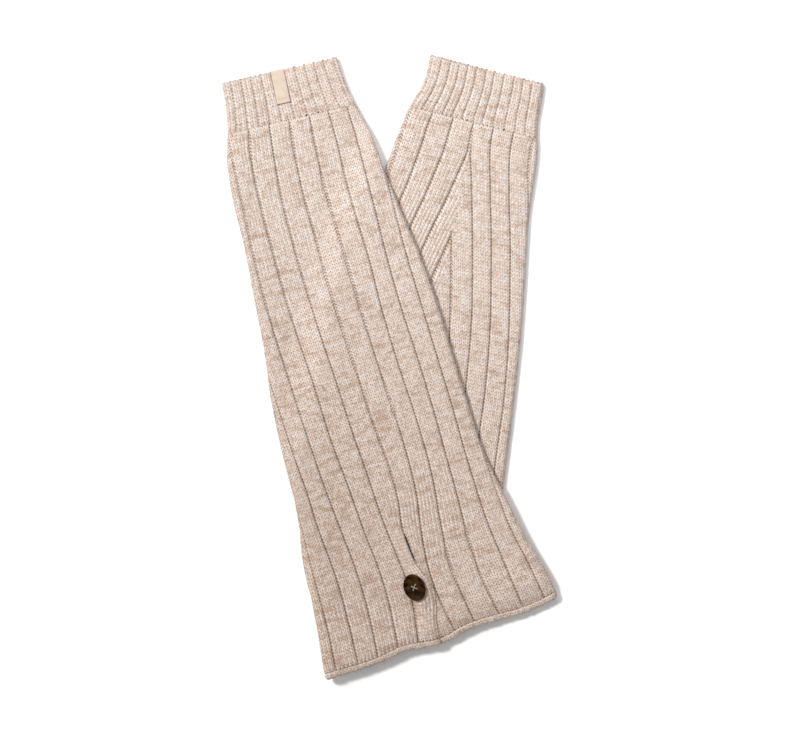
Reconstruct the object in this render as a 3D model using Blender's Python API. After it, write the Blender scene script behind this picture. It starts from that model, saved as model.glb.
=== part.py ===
"""A pair of knitted leg warmers, laid crossed on a flat surface.

Each leg warmer is a flattened knitted tube: a narrow-ribbed cuff, a wide-ribbed leg that flares
towards the hem, and a rolled edge. The one on top shows its front, with a buttoned vent at the
hem. The one beneath shows its back, where new ribs start from a centre line. The shapes are
worked out in millimetres, in a flat plan of the pair, and written to the meshes in metres.
"""

from collections import namedtuple
from math import cos, pi, radians, sin

import bmesh
import bpy
import numpy as np
from mathutils import Vector

MM = 0.001

# ---- Driving dimensions, in millimetres ----

LENGTH = 430.0  # cuff edge to hem, along the leg warmer
OVER_CUFF_LENGTH = 36.0
UNDER_CUFF_LENGTH = 39.0
CUFF_SHIFT = 0.8  # the cuffs' edges and seams lie this far down in the middle
CUFF_SLANT = 0.048  # and this much more for each 1 across
CUFF_SLANT_END = 110.0  # where the slant has faded out
SEAM_GAP = 0.3  # between neighbouring pieces
ROLL_GAP = 0.6  # between the leg and its rolled edge, whose sections don't line up
ROLL_LENGTH = 4.5  # how much of the length the rolled edge takes

WALL = 2.1  # knitted fabric
HOLLOW = 0.7  # between the front and the back wall of a tube laid flat
FLAT_HEIGHT = 2 * WALL + HOLLOW
RIB_RISE = 1.0  # a wide rib's crown over the groove beside it
CUFF_RISE = 1.1
RIB_PITCH = 15.7  # five knit stitches and one purl
OVER_CUFF_SHARE = 0.176  # pitch of a cuff's grooves, two knit stitches and one purl, for each 1
UNDER_CUFF_SHARE = 0.158  # of half its width
CUFF_GROOVES = range(-5, 6)
GROOVE_HALF = 1.9  # from a groove's bottom to its shoulder
SHOULDER_SHARE = 0.85  # of a rib's rise that its shoulder has
EDGE_ROUND = 0.5  # of the wall's corners at a tube's two ends
EDGE_SHARE = 0.6  # of a rib's rise that is left there
END_BORDER = 1.0  # from the end to the full-sized section beside it

SIDE_ROUND = 3.0  # how far a side fold rounds in, seen from above
SIDE_ANGLES = (-60, -30, 0, 30, 60)
SIDE_FULLNESS = 0.95
SIDE_SHARE = 0.35  # of a rib's rise that is left where the face meets the side fold
SIDE_FADE = 7.0  # the width over which it fades to that
FACE_MARGIN = 1.5  # a groove nearer than this to the side fold is out of sight

ROW_STEP = 18.5  # spacing of the sections along a leg
CUFF_ROWS = 4
CUFF_PLAIN = 10  # points across a plain wall: cuff, top leg, lower leg
OVER_PLAIN = 15
UNDER_PLAIN = 10

# ---- Section tables ----

# at: the distance along from the cuff's edge. half: half the flat width of the one on top.
Width = namedtuple("Width", "at half")
WIDTHS = [
    Width(0, 42.6),
    Width(15, 43.6),
    Width(28, 45.5),
    Width(40, 48.3),
    Width(57, 52.5),
    Width(80, 54.8),
    Width(106, 56.4),
    Width(129, 58.5),
    Width(150, 60.9),
    Width(187, 63.9),
    Width(227, 67.1),
    Width(262, 68.8),
    Width(305, 70.3),
    Width(338, 74.3),
    Width(360, 77.7),
    Width(387, 82.2),
    Width(418, 87.5),
    Width(430, 89.0),
]

# The one on top, at distances along. drift: how far its middle lies from a straight centre line.
# The others are its grooves, measured from that line: the one that runs down to the vent, and
# those to its left and right. The button draws them together.
Front = namedtuple("Front", "at drift left5 left4 left3 left2 left1 vent right1 right2 right3 right4 right5")
FRONT = [
    Front(0, -0.6, -77.5, -63.0, -49.0, -33.0, -18.0, -3.4, 11.4, 25.5, 39.6, 53.0, 67.0),
    Front(36, -1.7, -77.6, -63.4, -49.6, -33.8, -18.6, -3.6, 11.4, 25.5, 39.6, 53.0, 67.0),
    Front(60, -2.5, -79.0, -65.0, -51.5, -38.1, -21.4, -6.1, 9.7, 25.6, 40.0, 53.5, 67.3),
    Front(90, -3.0, -81.0, -67.0, -53.1, -40.3, -24.2, -8.3, 8.0, 24.3, 39.4, 53.3, 67.2),
    Front(120, -2.0, -83.0, -69.0, -55.0, -40.9, -25.1, -8.3, 8.1, 24.2, 38.8, 52.5, 66.4),
    Front(150, -1.3, -84.3, -70.2, -56.2, -41.2, -25.1, -8.9, 8.6, 24.9, 37.8, 51.9, 66.0),
    Front(190, -1.4, -84.0, -70.0, -56.0, -40.5, -24.2, -7.8, 9.2, 23.9, 37.8, 52.4, 66.5),
    Front(230, -3.7, -82.0, -68.2, -54.6, -38.4, -22.2, -6.1, 10.5, 24.6, 39.3, 53.2, 66.9),
    Front(270, -4.3, -79.5, -66.6, -52.8, -37.3, -20.7, -4.3, 12.5, 26.4, 40.2, 54.0, 67.0),
    Front(305, -4.1, -75.5, -64.3, -50.7, -34.4, -18.5, -1.8, 12.7, 26.7, 40.0, 54.0, 66.8),
    Front(325, -3.6, -75.0, -63.9, -49.0, -33.0, -17.6, -2.3, 11.7, 25.5, 40.1, 54.4, 67.2),
    Front(345, -2.3, -75.8, -62.3, -47.1, -31.7, -16.1, -4.9, 8.6, 23.3, 39.6, 55.0, 68.6),
    Front(362, -2.1, -76.3, -61.0, -45.6, -29.8, -14.1, -5.0, 6.5, 21.9, 39.0, 56.1, 69.9),
    Front(378, -1.5, -76.5, -60.6, -45.0, -28.9, -12.4, -4.0, 5.5, 21.2, 39.7, 58.0, 72.4),
    Front(395, -0.3, -77.0, -61.2, -45.2, -28.9, -12.0, -3.5, 6.3, 22.5, 40.6, 60.1, 76.0),
    Front(410, 0.7, -77.9, -61.7, -46.1, -29.9, -13.6, -4.5, 8.6, 24.6, 42.9, 61.9, 78.4),
    Front(430, 1.0, -79.4, -62.5, -47.5, -31.4, -16.7, -6.0, 12.2, 27.5, 46.2, 64.2, 81.2),
]
FRONT_GROOVES = Front._fields[2:]

# The one beneath, at distances along. half: half its flat width. drift: as above. left: a groove
# of its left side, measured from the straight centre line, and left_pitch the pitch from it to
# the left edge. right and right_pitch: the same for its right side. The two sides part from each
# other as the tube widens, and new ribs start between them, at the usual pitch.
Back = namedtuple("Back", "at half drift left left_pitch right right_pitch")
BACK = [
    Back(0, 42.0, 0.1, -1.5, 15.2, -2.0, 15.1),
    Back(16, 42.8, 0.3, -1.5, 15.2, -2.0, 15.1),
    Back(26, 44.2, -0.6, -1.5, 15.2, -2.0, 15.1),
    Back(36, 46.8, -1.9, -1.5, 15.2, -2.0, 15.1),
    Back(50, 49.7, -2.0, -1.6, 16.2, -1.6, 14.9),
    Back(64, 51.6, -2.7, -2.3, 16.6, 0.9, 14.4),
    Back(80, 53.1, -3.6, -5.8, 16.0, 4.6, 14.1),
    Back(100, 55.7, -4.8, -10.2, 15.6, 9.1, 13.9),
    Back(120, 58.8, -5.3, -15.6, 15.2, 13.5, 14.0),
    Back(145, 62.1, -5.2, -21.5, 15.1, 18.7, 13.9),
    Back(180, 65.1, -3.6, -29.5, 15.4, 25.2, 13.9),
    Back(230, 67.8, -1.4, -39.0, 15.7, 30.9, 14.4),
    Back(285, 70.7, -0.1, -47.0, 15.7, 33.4, 15.0),
    Back(310, 72.2, 0.0, -50.0, 15.7, 34.3, 15.7),
    Back(340, 76.7, 0.0, -54.0, 15.9, 35.2, 16.1),
    Back(370, 82.1, 0.0, -58.0, 16.1, 36.1, 16.4),
    Back(400, 86.6, 0.0, -62.0, 16.3, 37.0, 16.7),
    Back(430, 89.6, 0.0, -66.0, 16.5, 38.0, 17.0),
]
BACK_GROOVES = range(-3, 4)  # of each side, the outermost first
BACK_MEETING = 8.0  # two grooves of the two sides nearer than this are one

# ---- Lay of the pair, seen from above with the cuffs away from the viewer ----

OVER_TOP = (-79.6, 216.1)  # middle of the cuff's edge
OVER_HEADING = 15.76  # degrees from the viewer's direction, turning right
UNDER_TOP = (70.8, 216.5)
UNDER_HEADING = -11.5
UNDER_TURN = 36.0  # it turns under the other one, out of sight
UNDER_TURN_START = 280.0
UNDER_TURN_END = 400.0
UNDER_EASE_START = 300.0  # below this the hidden stretch is pushed up and drawn in a little
UNDER_PLAN_LENGTH = 405.0
UNDER_HEM_EASE = 0.14
DRAPE_OUT = 32.0  # the top one starts to rise this far outside the lower one's edge
DRAPE_IN = -4.0
DRAPE_HEM = 2.0  # and keeps its full height this far past the lower one's hem
DRAPE_GAP = 0.6  # between the lower one's ribs and the top one

# ---- Hem, vent, button, label ----

# The hem of the one on top isn't straight. at: the distance across from its middle. past: how
# far the hem lies past the length there.
Hem = namedtuple("Hem", "at past")
HEM = [
    Hem(-90, 5.2),
    Hem(-63, 4.7),
    Hem(-50, 4.2),
    Hem(-39, 2.3),
    Hem(-28, 0.9),
    Hem(-16, 1.7),
    Hem(-4, 2.9),
    Hem(5, 2.2),
    Hem(15, -0.8),
    Hem(30, -2.4),
    Hem(60, -2.3),
    Hem(76, -3.9),
    Hem(90, -7.2),
]
HEM_SHIFT_START = 330.0
ROLL_HALF = 2.3  # the rolled edge, along the leg warmer
ROLL_FRONT = 1.8  # and half its height on each wall and at a side fold
ROLL_PRESSED = 1.0  # the same on the lower one's front wall, under the weight of the other
ROLL_SIDE = 1.35
ROLL_BACK = 1.1
ROLL_SIDES = 8
ROLL_WAVY_STEP = 7.0  # between its sections, where the hem is wavy and where it is straight
ROLL_STRAIGHT_STEP = 14.0
ROLL_BACK_COUNT = 0.7  # sections on the back for each one on the front

# The vent's overlap, at distances along: its groove at the left and its free edge, measured
# across from the straight centre line.
Band = namedtuple("Band", "at left free")
BAND = [
    Band(338, -16.3, -5.3),
    Band(356, -14.8, -4.6),
    Band(370, -13.1, -2.7),
    Band(380, -12.3, 1.6),
    Band(390, -12.0, 4.6),
    Band(400, -12.3, 3.7),
    Band(411, -13.8, 0.9),
    Band(426, -16.3, -1.1),
]
BAND_WALL = 2.1
BAND_THIN = 0.5  # at the groove and at the top of the vent, where it joins the leg
BAND_ROWS = 10
BAND_COLUMNS = 7
BAND_FADE = 34.0  # the length over which it thickens from the top of the vent
BAND_SHOULDER = 0.35  # share of its width over which it thickens from the groove
BAND_EDGE_START = 0.75  # and from which its free edge rounds down
BAND_EDGE_SHARE = 0.5
UNDERLAP = 8.0  # the rolled edge starts this far under the free edge
OVERLAP_CLIMB = (0.25, 0.6, 1.0)  # shares of its width where the roll rises onto the overlap
OVERLAP_TOP = 0.6  # and the share at which it is up
OVERLAP_ROLL_LOW = 1.3  # half the height of the roll where it lies under and over itself
OVERLAP_ROLL_HIGH = 1.6
OVERLAP_CLEAR = 4.0  # across, from the overlap to the roll's usual height

BUTTON_ALONG = 386.4
BUTTON_ACROSS = -8.0
BUTTON_HALF_WIDTH = 7.8
BUTTON_HALF_LENGTH = 10.0
BUTTON_THICK = 2.5
BUTTON_FLOOR = 1.3  # the dish inside its rim
# Its outline turned round, from the middle of its underside: share of the radius, and height.
Turned = namedtuple("Turned", "share height")
BUTTON_PROFILE = [
    Turned(0.84, 0.0),
    Turned(1.0, 0.8),
    Turned(1.0, 1.7),
    Turned(0.94, BUTTON_THICK),
    Turned(0.85, BUTTON_THICK),
    Turned(0.74, BUTTON_FLOOR),
]
BUTTON_TURN = 10.0  # of its long axis, from the leg's
BUTTON_TILT = 15.0  # its left side lies lower
BUTTON_SEGMENTS = 32
BUTTON_RISE = 9.2  # of the middle of its underside above the surface below the leg
HOLE_RADIUS = 1.05
HOLE_SEGMENTS = 12
HOLE_SPREAD = 1.75  # each hole's middle from the button's, along and across
THREAD_RADIUS = 0.5
THREAD_FOOT = -0.5  # the thread's ends, from the button's underside
THREAD_BEND = 0.3  # how far it rounds into a hole
THREAD_BEND_SHARE = 0.8

LABEL_WIDTH = 9.8
LABEL_LENGTH = 23.6
LABEL_THICK = 0.9
LABEL_TOP_ACROSS = -1.6
LABEL_LEAN = -1.0
LABEL_FOLD_REACH = 2.0  # down the end of the cuff's front wall
LABEL_CORNER = 0.4

KNIT_COLOUR = (0.66, 0.54, 0.47, 1.0)
CUFF_COLOUR = (0.63, 0.51, 0.44, 1.0)
LABEL_COLOUR = (0.83, 0.64, 0.48, 1.0)
BUTTON_COLOUR = (0.045, 0.024, 0.014, 1.0)
THREAD_COLOUR = (0.62, 0.53, 0.42, 1.0)
KNIT_ROUGHNESS = 0.95
LABEL_ROUGHNESS = 0.7
BUTTON_ROUGHNESS = 0.3


# ---- Curves through the tables ----


def smooth(table, column, at):
    """The table's column at a distance, on a smooth curve through its rows."""
    knots = np.array([row.at for row in table], float)
    values = np.array([getattr(row, column) for row in table], float)
    slopes = np.gradient(values, knots)
    i = int(np.clip(np.searchsorted(knots, at) - 1, 0, len(knots) - 2))
    step = knots[i + 1] - knots[i]
    u = float(np.clip((at - knots[i]) / step, 0, 1))
    start = (2 * u**3 - 3 * u**2 + 1) * values[i] + (u**3 - 2 * u**2 + u) * step * slopes[i]
    end = (3 * u**2 - 2 * u**3) * values[i + 1] + (u**3 - u**2) * step * slopes[i + 1]
    return start + end


def ease(value, low, high):
    """0 below low, 1 above high, and a soft step between."""
    u = min(max((value - low) / (high - low), 0.0), 1.0)
    return u * u * (3 - 2 * u)


def slanted(along, across, cuff_length):
    """The cuff lies a little askew on its leg, and the leg's first rows with it."""
    return along + (CUFF_SHIFT + CUFF_SLANT * across) * (1 - ease(along, cuff_length, CUFF_SLANT_END))


# ---- The two lays: from (along, across) on the garment to a point of the plan ----


class StraightLay:
    """The leg warmer on top: straight, with a little drift of its middle."""

    length = LENGTH

    def half(self, along):
        return smooth(WIDTHS, "half", along)

    def plan(self, along, across):
        heading = radians(OVER_HEADING)
        along = slanted(along, across, OVER_CUFF_LENGTH)
        along += smooth(HEM, "past", across) * ease(along, HEM_SHIFT_START, LENGTH)
        aside = across + smooth(FRONT, "drift", along)
        x = OVER_TOP[0] + along * sin(heading) + aside * cos(heading)
        y = OVER_TOP[1] - along * cos(heading) + aside * sin(heading)
        return x, y

    def lift(self, x, y):
        """How far the lower leg warmer holds this one off the surface at a point of the plan."""
        inside = UNDER_LAY.inside(x, y)
        height = FLAT_HEIGHT + RIB_RISE + DRAPE_GAP
        return height * ease(inside, -DRAPE_OUT, DRAPE_IN)


class TurnedLay:
    """The leg warmer beneath: straight where it shows, then turned to stay hidden."""

    length = UNDER_PLAN_LENGTH

    def __init__(self):
        steps = int(UNDER_PLAN_LENGTH) + 1
        self.middle = np.zeros((steps, 2))
        self.heading = np.zeros(steps)
        self.drift = np.zeros(steps)
        x, y = UNDER_TOP
        for i in range(steps):
            turn = UNDER_TURN * ease(i, UNDER_TURN_START, UNDER_TURN_END)
            heading = radians(UNDER_HEADING + turn)
            self.middle[i] = x, y
            self.heading[i] = heading
            self.drift[i] = smooth(BACK, "drift", i)
            x += sin(heading)
            y -= cos(heading)

    def knitted(self, along):
        """The distance along the knitted tube that lies at this distance along the plan."""
        hidden = UNDER_PLAN_LENGTH - UNDER_EASE_START
        part = max(0.0, (along - UNDER_EASE_START) / hidden)
        return along + (LENGTH - UNDER_PLAN_LENGTH) * part

    def half(self, along):
        drawn_in = UNDER_HEM_EASE * ease(along, UNDER_EASE_START, UNDER_PLAN_LENGTH)
        return smooth(BACK, "half", self.knitted(along)) * (1 - drawn_in)

    def plan(self, along, across):
        along = slanted(along, across, UNDER_CUFF_LENGTH)
        i = int(min(max(along, 0), len(self.heading) - 1))
        rest = along - i
        heading = self.heading[i]
        aside = across + smooth(BACK, "drift", along)
        x = self.middle[i][0] + rest * sin(heading) + aside * cos(heading)
        y = self.middle[i][1] - rest * cos(heading) + aside * sin(heading)
        return x, y

    def inside(self, x, y):
        """The distance of a point of the plan inside this outline, negative outside."""
        away = np.array([x, y]) - self.middle
        i = int(np.argmin((away**2).sum(axis=1)))
        heading = self.heading[i]
        beyond = away[i][0] * sin(heading) - away[i][1] * cos(heading)
        aside = away[i][0] * cos(heading) + away[i][1] * sin(heading)
        side = self.half(float(i)) - abs(aside - self.drift[i])
        return min(side, DRAPE_HEM - beyond) if i == len(self.heading) - 1 else side

    def lift(self, x, y):
        return 0.0


OVER_LAY = StraightLay()
UNDER_LAY = TurnedLay()


# ---- Grooves: their places across a section, None where they are out of sight ----


def kept_on_face(places, half):
    """Each place that lies on the visible face, clear of the rounded side folds."""
    room = half - SIDE_ROUND - GROOVE_HALF - FACE_MARGIN
    return [p if p is not None and abs(p) < room else None for p in places]


def front_grooves(along, half):
    drift = smooth(FRONT, "drift", along)
    return kept_on_face([smooth(FRONT, groove, along) - drift for groove in FRONT_GROOVES], half)


def back_grooves(along, half):
    """The left side's grooves, then the right side's from the middle out. Where the two sides
    meet, a groove that would crowd one of the other side's is left out."""
    drift = smooth(BACK, "drift", along)
    left = []
    right = []
    for k in BACK_GROOVES:
        left_step = smooth(BACK, "left_pitch", along) if k < 0 else RIB_PITCH
        right_step = smooth(BACK, "right_pitch", along) if k < 0 else RIB_PITCH
        left.append(smooth(BACK, "left", along) - drift + k * left_step)
        right.append(smooth(BACK, "right", along) - drift - k * right_step)
    left_kept = [None] * len(left)
    right_kept = [None] * len(right)
    most_left = -half
    most_right = half
    for k in range(len(left)):
        if left[k] < most_right - BACK_MEETING:
            left_kept[k] = most_left = left[k]
        if right[k] > most_left + BACK_MEETING:
            right_kept[k] = most_right = right[k]
    return kept_on_face(left_kept + right_kept[::-1], half)


def cuff_grooves(share):
    """A cuff's grooves keep their share of its half width all along it."""
    return lambda along, half: [k * share * half for k in CUFF_GROOVES]


# ---- Section of a flattened tube ----


def side_arc(half, sign):
    """The rounded side fold, from the underside up for +1 and from the top down for -1."""
    arc = []
    for angle in SIDE_ANGLES:
        turn = radians(angle) * sign
        across = half - SIDE_ROUND + SIDE_ROUND * cos(turn)
        arc.append((sign * across, FLAT_HEIGHT / 2 * (1 + sin(turn) / SIDE_FULLNESS)))
    return arc


def ribbed_row(places, half, rise):
    """(across, relief) from the left fold to the right one: three points at each groove and one
    on each crown. Grooves that are out of sight leave their points spread over a plain stretch."""
    slots = [(None, 1.0)]
    for place in places:
        if place is None:
            slots += [(None, 1.0)] * 3
        else:
            slots.append((place - GROOVE_HALF, SHOULDER_SHARE))
            slots.append((place, 0.0))
            slots.append((place + GROOVE_HALF, SHOULDER_SHARE))
        slots.append((None, 1.0))
    edge = half - SIDE_ROUND
    known = [-1] + [i for i, slot in enumerate(slots) if slot[0] is not None] + [len(slots)]
    values = [-edge] + [slot[0] for slot in slots if slot[0] is not None] + [edge]
    spread = np.interp(range(len(slots)), known, values)
    row = []
    for across, (_, share) in zip(spread, slots):
        face = ease(edge - abs(across), -1.0, SIDE_FADE - 1.0)
        row.append((float(across), rise * share * (SIDE_SHARE + (1 - SIDE_SHARE) * face)))
    return row


def plain_row(half, count):
    edge = half - SIDE_ROUND
    return [float(v) for v in np.linspace(-edge, edge, count + 2)[1:-1]]


def outer_section(places, half, rise, count, at_end):
    """Closed ring of (across, height): up the right fold, left over the ribs, down the left fold
    and back below. At a tube's end it is a little smaller, which rounds the wall's corner."""
    rounding = EDGE_ROUND if at_end else 0.0
    share = EDGE_SHARE if at_end else 1.0
    squeeze = (FLAT_HEIGHT - 2 * rounding) / FLAT_HEIGHT
    arc = side_arc(half - rounding, 1)
    ring = [(across, rounding + height * squeeze) for across, height in arc]
    for across, relief in reversed(ribbed_row(places, half, rise)):
        ring.append((across, FLAT_HEIGHT - rounding + relief * share))
    arc = side_arc(half - rounding, -1)
    ring += [(across, rounding + height * squeeze) for across, height in arc]
    ring += [(across, rounding) for across in plain_row(half, count)]
    widest = SIDE_ANGLES.index(0)
    return ring[widest:] + ring[:widest]


def inner_section(half, count):
    """Closed ring round the hollow, from its widest point, the same way as the outer one."""
    reach = half - WALL - HOLLOW
    row = plain_row(half - WALL, count)
    top = [(across, WALL + HOLLOW) for across in reversed(row)]
    bottom = [(across, WALL) for across in row]
    return [(reach, FLAT_HEIGHT / 2)] + top + [(-reach, FLAT_HEIGHT / 2)] + bottom


# ---- Meshes ----


def new_object(name, mesh, colour, roughness):
    material = bpy.data.materials.new(name + "_material")
    material.use_nodes = True
    shader = material.node_tree.nodes["Principled BSDF"]
    shader.inputs["Base Color"].default_value = colour
    shader.inputs["Roughness"].default_value = roughness
    shader.inputs["Metallic"].default_value = 0.0
    material.diffuse_color = colour
    mesh.materials.append(material)
    obj = bpy.data.objects.new(name, mesh)
    bpy.context.scene.collection.objects.link(obj)
    return obj


def finished_mesh(name, bm):
    """The bmesh as a mesh, its faces turned outwards and its round parts shaded smooth."""
    bmesh.ops.recalc_face_normals(bm, faces=bm.faces)
    mesh = bpy.data.meshes.new(name)
    bm.to_mesh(mesh)
    bm.free()
    mesh.shade_smooth()
    mesh.set_sharp_from_angle(angle=radians(50))
    return mesh


def add_ring(bm, points):
    return [bm.verts.new((x * MM, y * MM, z * MM)) for x, y, z in points]


def join_rings(bm, first, second):
    for i in range(len(first)):
        j = (i + 1) % len(first)
        bm.faces.new((first[i], first[j], second[j], second[i]))


def way_round(ring):
    """Each point's share of the way round a closed ring, with 1 after the last point."""
    sides = [(ring[i - len(ring) + 1].co - ring[i].co).length for i in range(len(ring))]
    return np.concatenate([[0.0], np.cumsum(sides) / sum(sides)])


def join_uneven(bm, outer, inner):
    """A flat end wall between two closed rings with different numbers of points."""
    outer_way = way_round(outer)
    inner_way = way_round(inner)
    i = j = 0
    while i < len(outer) or j < len(inner):
        a = outer[i % len(outer)]
        b = inner[j % len(inner)]
        if j == len(inner) or (i < len(outer) and outer_way[i + 1] <= inner_way[j + 1]):
            i += 1
            bm.faces.new((a, outer[i % len(outer)], b))
        else:
            j += 1
            bm.faces.new((a, inner[j % len(inner)], b))


def laid(lay, along, ring):
    """A section's (across, height) points as points in space, on the lay."""
    points = []
    for across, height in ring:
        x, y = lay.plan(along, across)
        points.append((x, y, height + lay.lift(x, y)))
    return points


def tube(name, lay, start, end, rows, grooves, rise, count, colour):
    """A flattened knitted tube, open at both ends, with ribs raised on its upper face."""
    places_along = [start] + list(np.linspace(start + END_BORDER, end - END_BORDER, rows)) + [end]
    bm = bmesh.new()
    outer_rings = []
    inner_rings = []
    for along in places_along:
        half = lay.half(along)
        outer = outer_section(grooves(along, half), half, rise, count, along in (start, end))
        outer_rings.append(add_ring(bm, laid(lay, along, outer)))
        inner_rings.append(add_ring(bm, laid(lay, along, inner_section(half, count))))
    for rings in (outer_rings, inner_rings):
        for first, second in zip(rings, rings[1:]):
            join_rings(bm, first, second)
    for i in (0, -1):
        join_uneven(bm, outer_rings[i], inner_rings[i])
    return new_object(name, finished_mesh(name, bm), colour, KNIT_ROUGHNESS)


def slab(name, top, bottom, colour, roughness):
    """A closed solid between two grids of points of the same size."""
    bm = bmesh.new()
    grids = [[add_ring(bm, row) for row in grid] for grid in (top, bottom)]
    rows = len(top)
    columns = len(top[0])
    for grid in grids:
        for r in range(rows - 1):
            for c in range(columns - 1):
                bm.faces.new((grid[r][c], grid[r][c + 1], grid[r + 1][c + 1], grid[r + 1][c]))
    rim = [(0, c) for c in range(columns)]
    rim += [(r, columns - 1) for r in range(1, rows)]
    rim += [(rows - 1, c) for c in range(columns - 2, -1, -1)]
    rim += [(r, 0) for r in range(rows - 2, 0, -1)]
    join_rings(bm, [grids[0][r][c] for r, c in rim], [grids[1][r][c] for r, c in rim])
    return new_object(name, finished_mesh(name, bm), colour, roughness)


def band_place(along, share):
    """The place across of a point of the vent's overlap, from its groove at 0 to its edge at 1."""
    left = smooth(BAND, "left", along)
    free = smooth(BAND, "free", along)
    return left + (free - left) * share - smooth(FRONT, "drift", along)


def button_band():
    """The overlap lies on the leg's ribs, and is made from the leg's face, moved out."""
    end = LENGTH - ROLL_LENGTH
    top = []
    bottom = []
    for along in np.linspace(BAND[0].at, end, BAND_ROWS):
        grown = ease(along, BAND[0].at, BAND[0].at + BAND_FADE)
        for grid, upper in ((top, True), (bottom, False)):
            row = []
            for share in np.linspace(0, 1, BAND_COLUMNS):
                rounded = (1 - BAND_EDGE_SHARE) * ease(share, BAND_EDGE_START, 1.0)
                crown = ease(share, 0.0, BAND_SHOULDER) * (1 - rounded)
                height = FLAT_HEIGHT + RIB_RISE + SEAM_GAP
                if upper:
                    height += BAND_THIN + (BAND_WALL - BAND_THIN) * crown * grown
                row.append((band_place(along, share), height))
            grid.append(laid(OVER_LAY, along, row))
    slab("over_button_band", top, bottom, KNIT_COLOUR, KNIT_ROUGHNESS)


def hem_route(half, step, front, front_roll):
    """(across, height, half height) round the middle of a flattened rolled edge, closed."""
    back = ROLL_BACK
    fold = (front - back) / 2
    edge = half - fold - ROLL_SIDE
    count = round(2 * edge / step)
    back_count = round(count * ROLL_BACK_COUNT)
    arc = []
    for angle in reversed(SIDE_ANGLES):
        turn = radians(angle)
        arc.append((edge + fold * cos(turn), back + fold * (1 + sin(turn)), ROLL_SIDE))
    route = [(float(x), front, front_roll) for x in np.linspace(-edge, edge, count + 1)]
    route += arc
    route += [(float(x), back, ROLL_BACK) for x in np.linspace(edge, -edge, back_count)]
    route += [(-across, height, high) for across, height, high in reversed(arc)]
    return route


def split_at_vent(route, front):
    """The same route opened at the vent: it starts under the free edge, low, goes round by the
    right side, and ends at the free edge, raised onto the overlap."""
    end = LENGTH - ROLL_LENGTH
    free = band_place(end, 1.0)
    left = band_place(end, 0.0)
    low = front + OVERLAP_ROLL_LOW - ROLL_FRONT
    high = low + 2 * ROLL_FRONT
    first = next(i for i, point in enumerate(route) if point[0] > free + OVERLAP_CLEAR)
    rest = route[first:] + [point for point in route[:first] if point[0] < left - OVERLAP_CLEAR / 2]
    start = [(free - UNDERLAP, low, OVERLAP_ROLL_LOW), (free, low, OVERLAP_ROLL_LOW)]
    finish = []
    for share in OVERLAP_CLIMB:
        height = front + (high - front) * ease(share, 0.0, OVERLAP_TOP)
        finish.append((left + (free - left) * share, height, OVERLAP_ROLL_HIGH))
    return start + rest + finish


def rolled_edge(name, lay, colour, vented):
    """The knitted edge rolls up on itself into a slim tube, all round the hem."""
    along = lay.length - ROLL_LENGTH + ROLL_GAP + ROLL_HALF
    half = lay.half(lay.length)
    if vented:
        route = hem_route(half, ROLL_WAVY_STEP, FLAT_HEIGHT, ROLL_FRONT)
        route = split_at_vent(route, FLAT_HEIGHT)
    else:
        pressed = FLAT_HEIGHT + RIB_RISE - ROLL_PRESSED
        route = hem_route(half, ROLL_STRAIGHT_STEP, pressed, ROLL_PRESSED)
    bm = bmesh.new()
    rings = []
    count = len(route)
    for i, (across, height, high) in enumerate(route):
        before = route[i - 1] if i or not vented else route[i]
        after = route[(i + 1) % count] if i + 1 < count or not vented else route[i]
        run = np.array([after[0] - before[0], after[1] - before[1]])
        run /= np.hypot(*run)
        ring = []
        for k in range(ROLL_SIDES):
            turn = 2 * pi * k / ROLL_SIDES
            x = across - run[1] * high * sin(turn)
            z = height + run[0] * high * sin(turn)
            ring += laid(lay, along + ROLL_HALF * cos(turn), [(x, z)])
        rings.append(add_ring(bm, ring))
    for first, second in zip(rings, rings[1:]):
        join_rings(bm, first, second)
    if vented:
        bm.faces.new(rings[0])
        bm.faces.new(rings[-1])
    else:
        join_rings(bm, rings[-1], rings[0])
    return new_object(name, finished_mesh(name, bm), colour, KNIT_ROUGHNESS)


def label():
    """A bare strip on the cuff's face, folded over the cuff's edge."""
    base = FLAT_HEIGHT + CUFF_RISE + SEAM_GAP
    top = base + LABEL_THICK
    foot = FLAT_HEIGHT - LABEL_FOLD_REACH
    outside = -SEAM_GAP - LABEL_THICK
    outer = [(LABEL_LENGTH, top), (LABEL_LENGTH / 2, top), (outside + LABEL_CORNER, top)]
    outer += [(outside, top - LABEL_CORNER), (outside, foot)]
    inner = [(LABEL_LENGTH, base), (LABEL_LENGTH / 2, base), (-SEAM_GAP, base)]
    inner += [(-SEAM_GAP, base - LABEL_CORNER), (-SEAM_GAP, foot)]
    grids = []
    for profile in (outer, inner):
        grid = []
        for along, height in profile:
            middle = LABEL_TOP_ACROSS + LABEL_LEAN * along / LABEL_LENGTH
            row = [(middle + side * LABEL_WIDTH / 2, height) for side in (-1, 0, 1)]
            grid.append(laid(OVER_LAY, along, row))
        grids.append(grid)
    slab("over_label", grids[0], grids[1], LABEL_COLOUR, LABEL_ROUGHNESS)


def button_frame():
    """An empty at the middle of the button's underside, turned and tilted as the button lies."""
    across = BUTTON_ACROSS - smooth(FRONT, "drift", BUTTON_ALONG)
    x, y, z = laid(OVER_LAY, BUTTON_ALONG, [(across, BUTTON_RISE)])[0]
    frame = bpy.data.objects.new("button_frame", None)
    bpy.context.scene.collection.objects.link(frame)
    frame.location = (x * MM, y * MM, z * MM)
    frame.rotation_mode = "ZYX"
    frame.rotation_euler = (0.0, radians(-BUTTON_TILT), radians(OVER_HEADING + BUTTON_TURN))
    return frame


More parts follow.
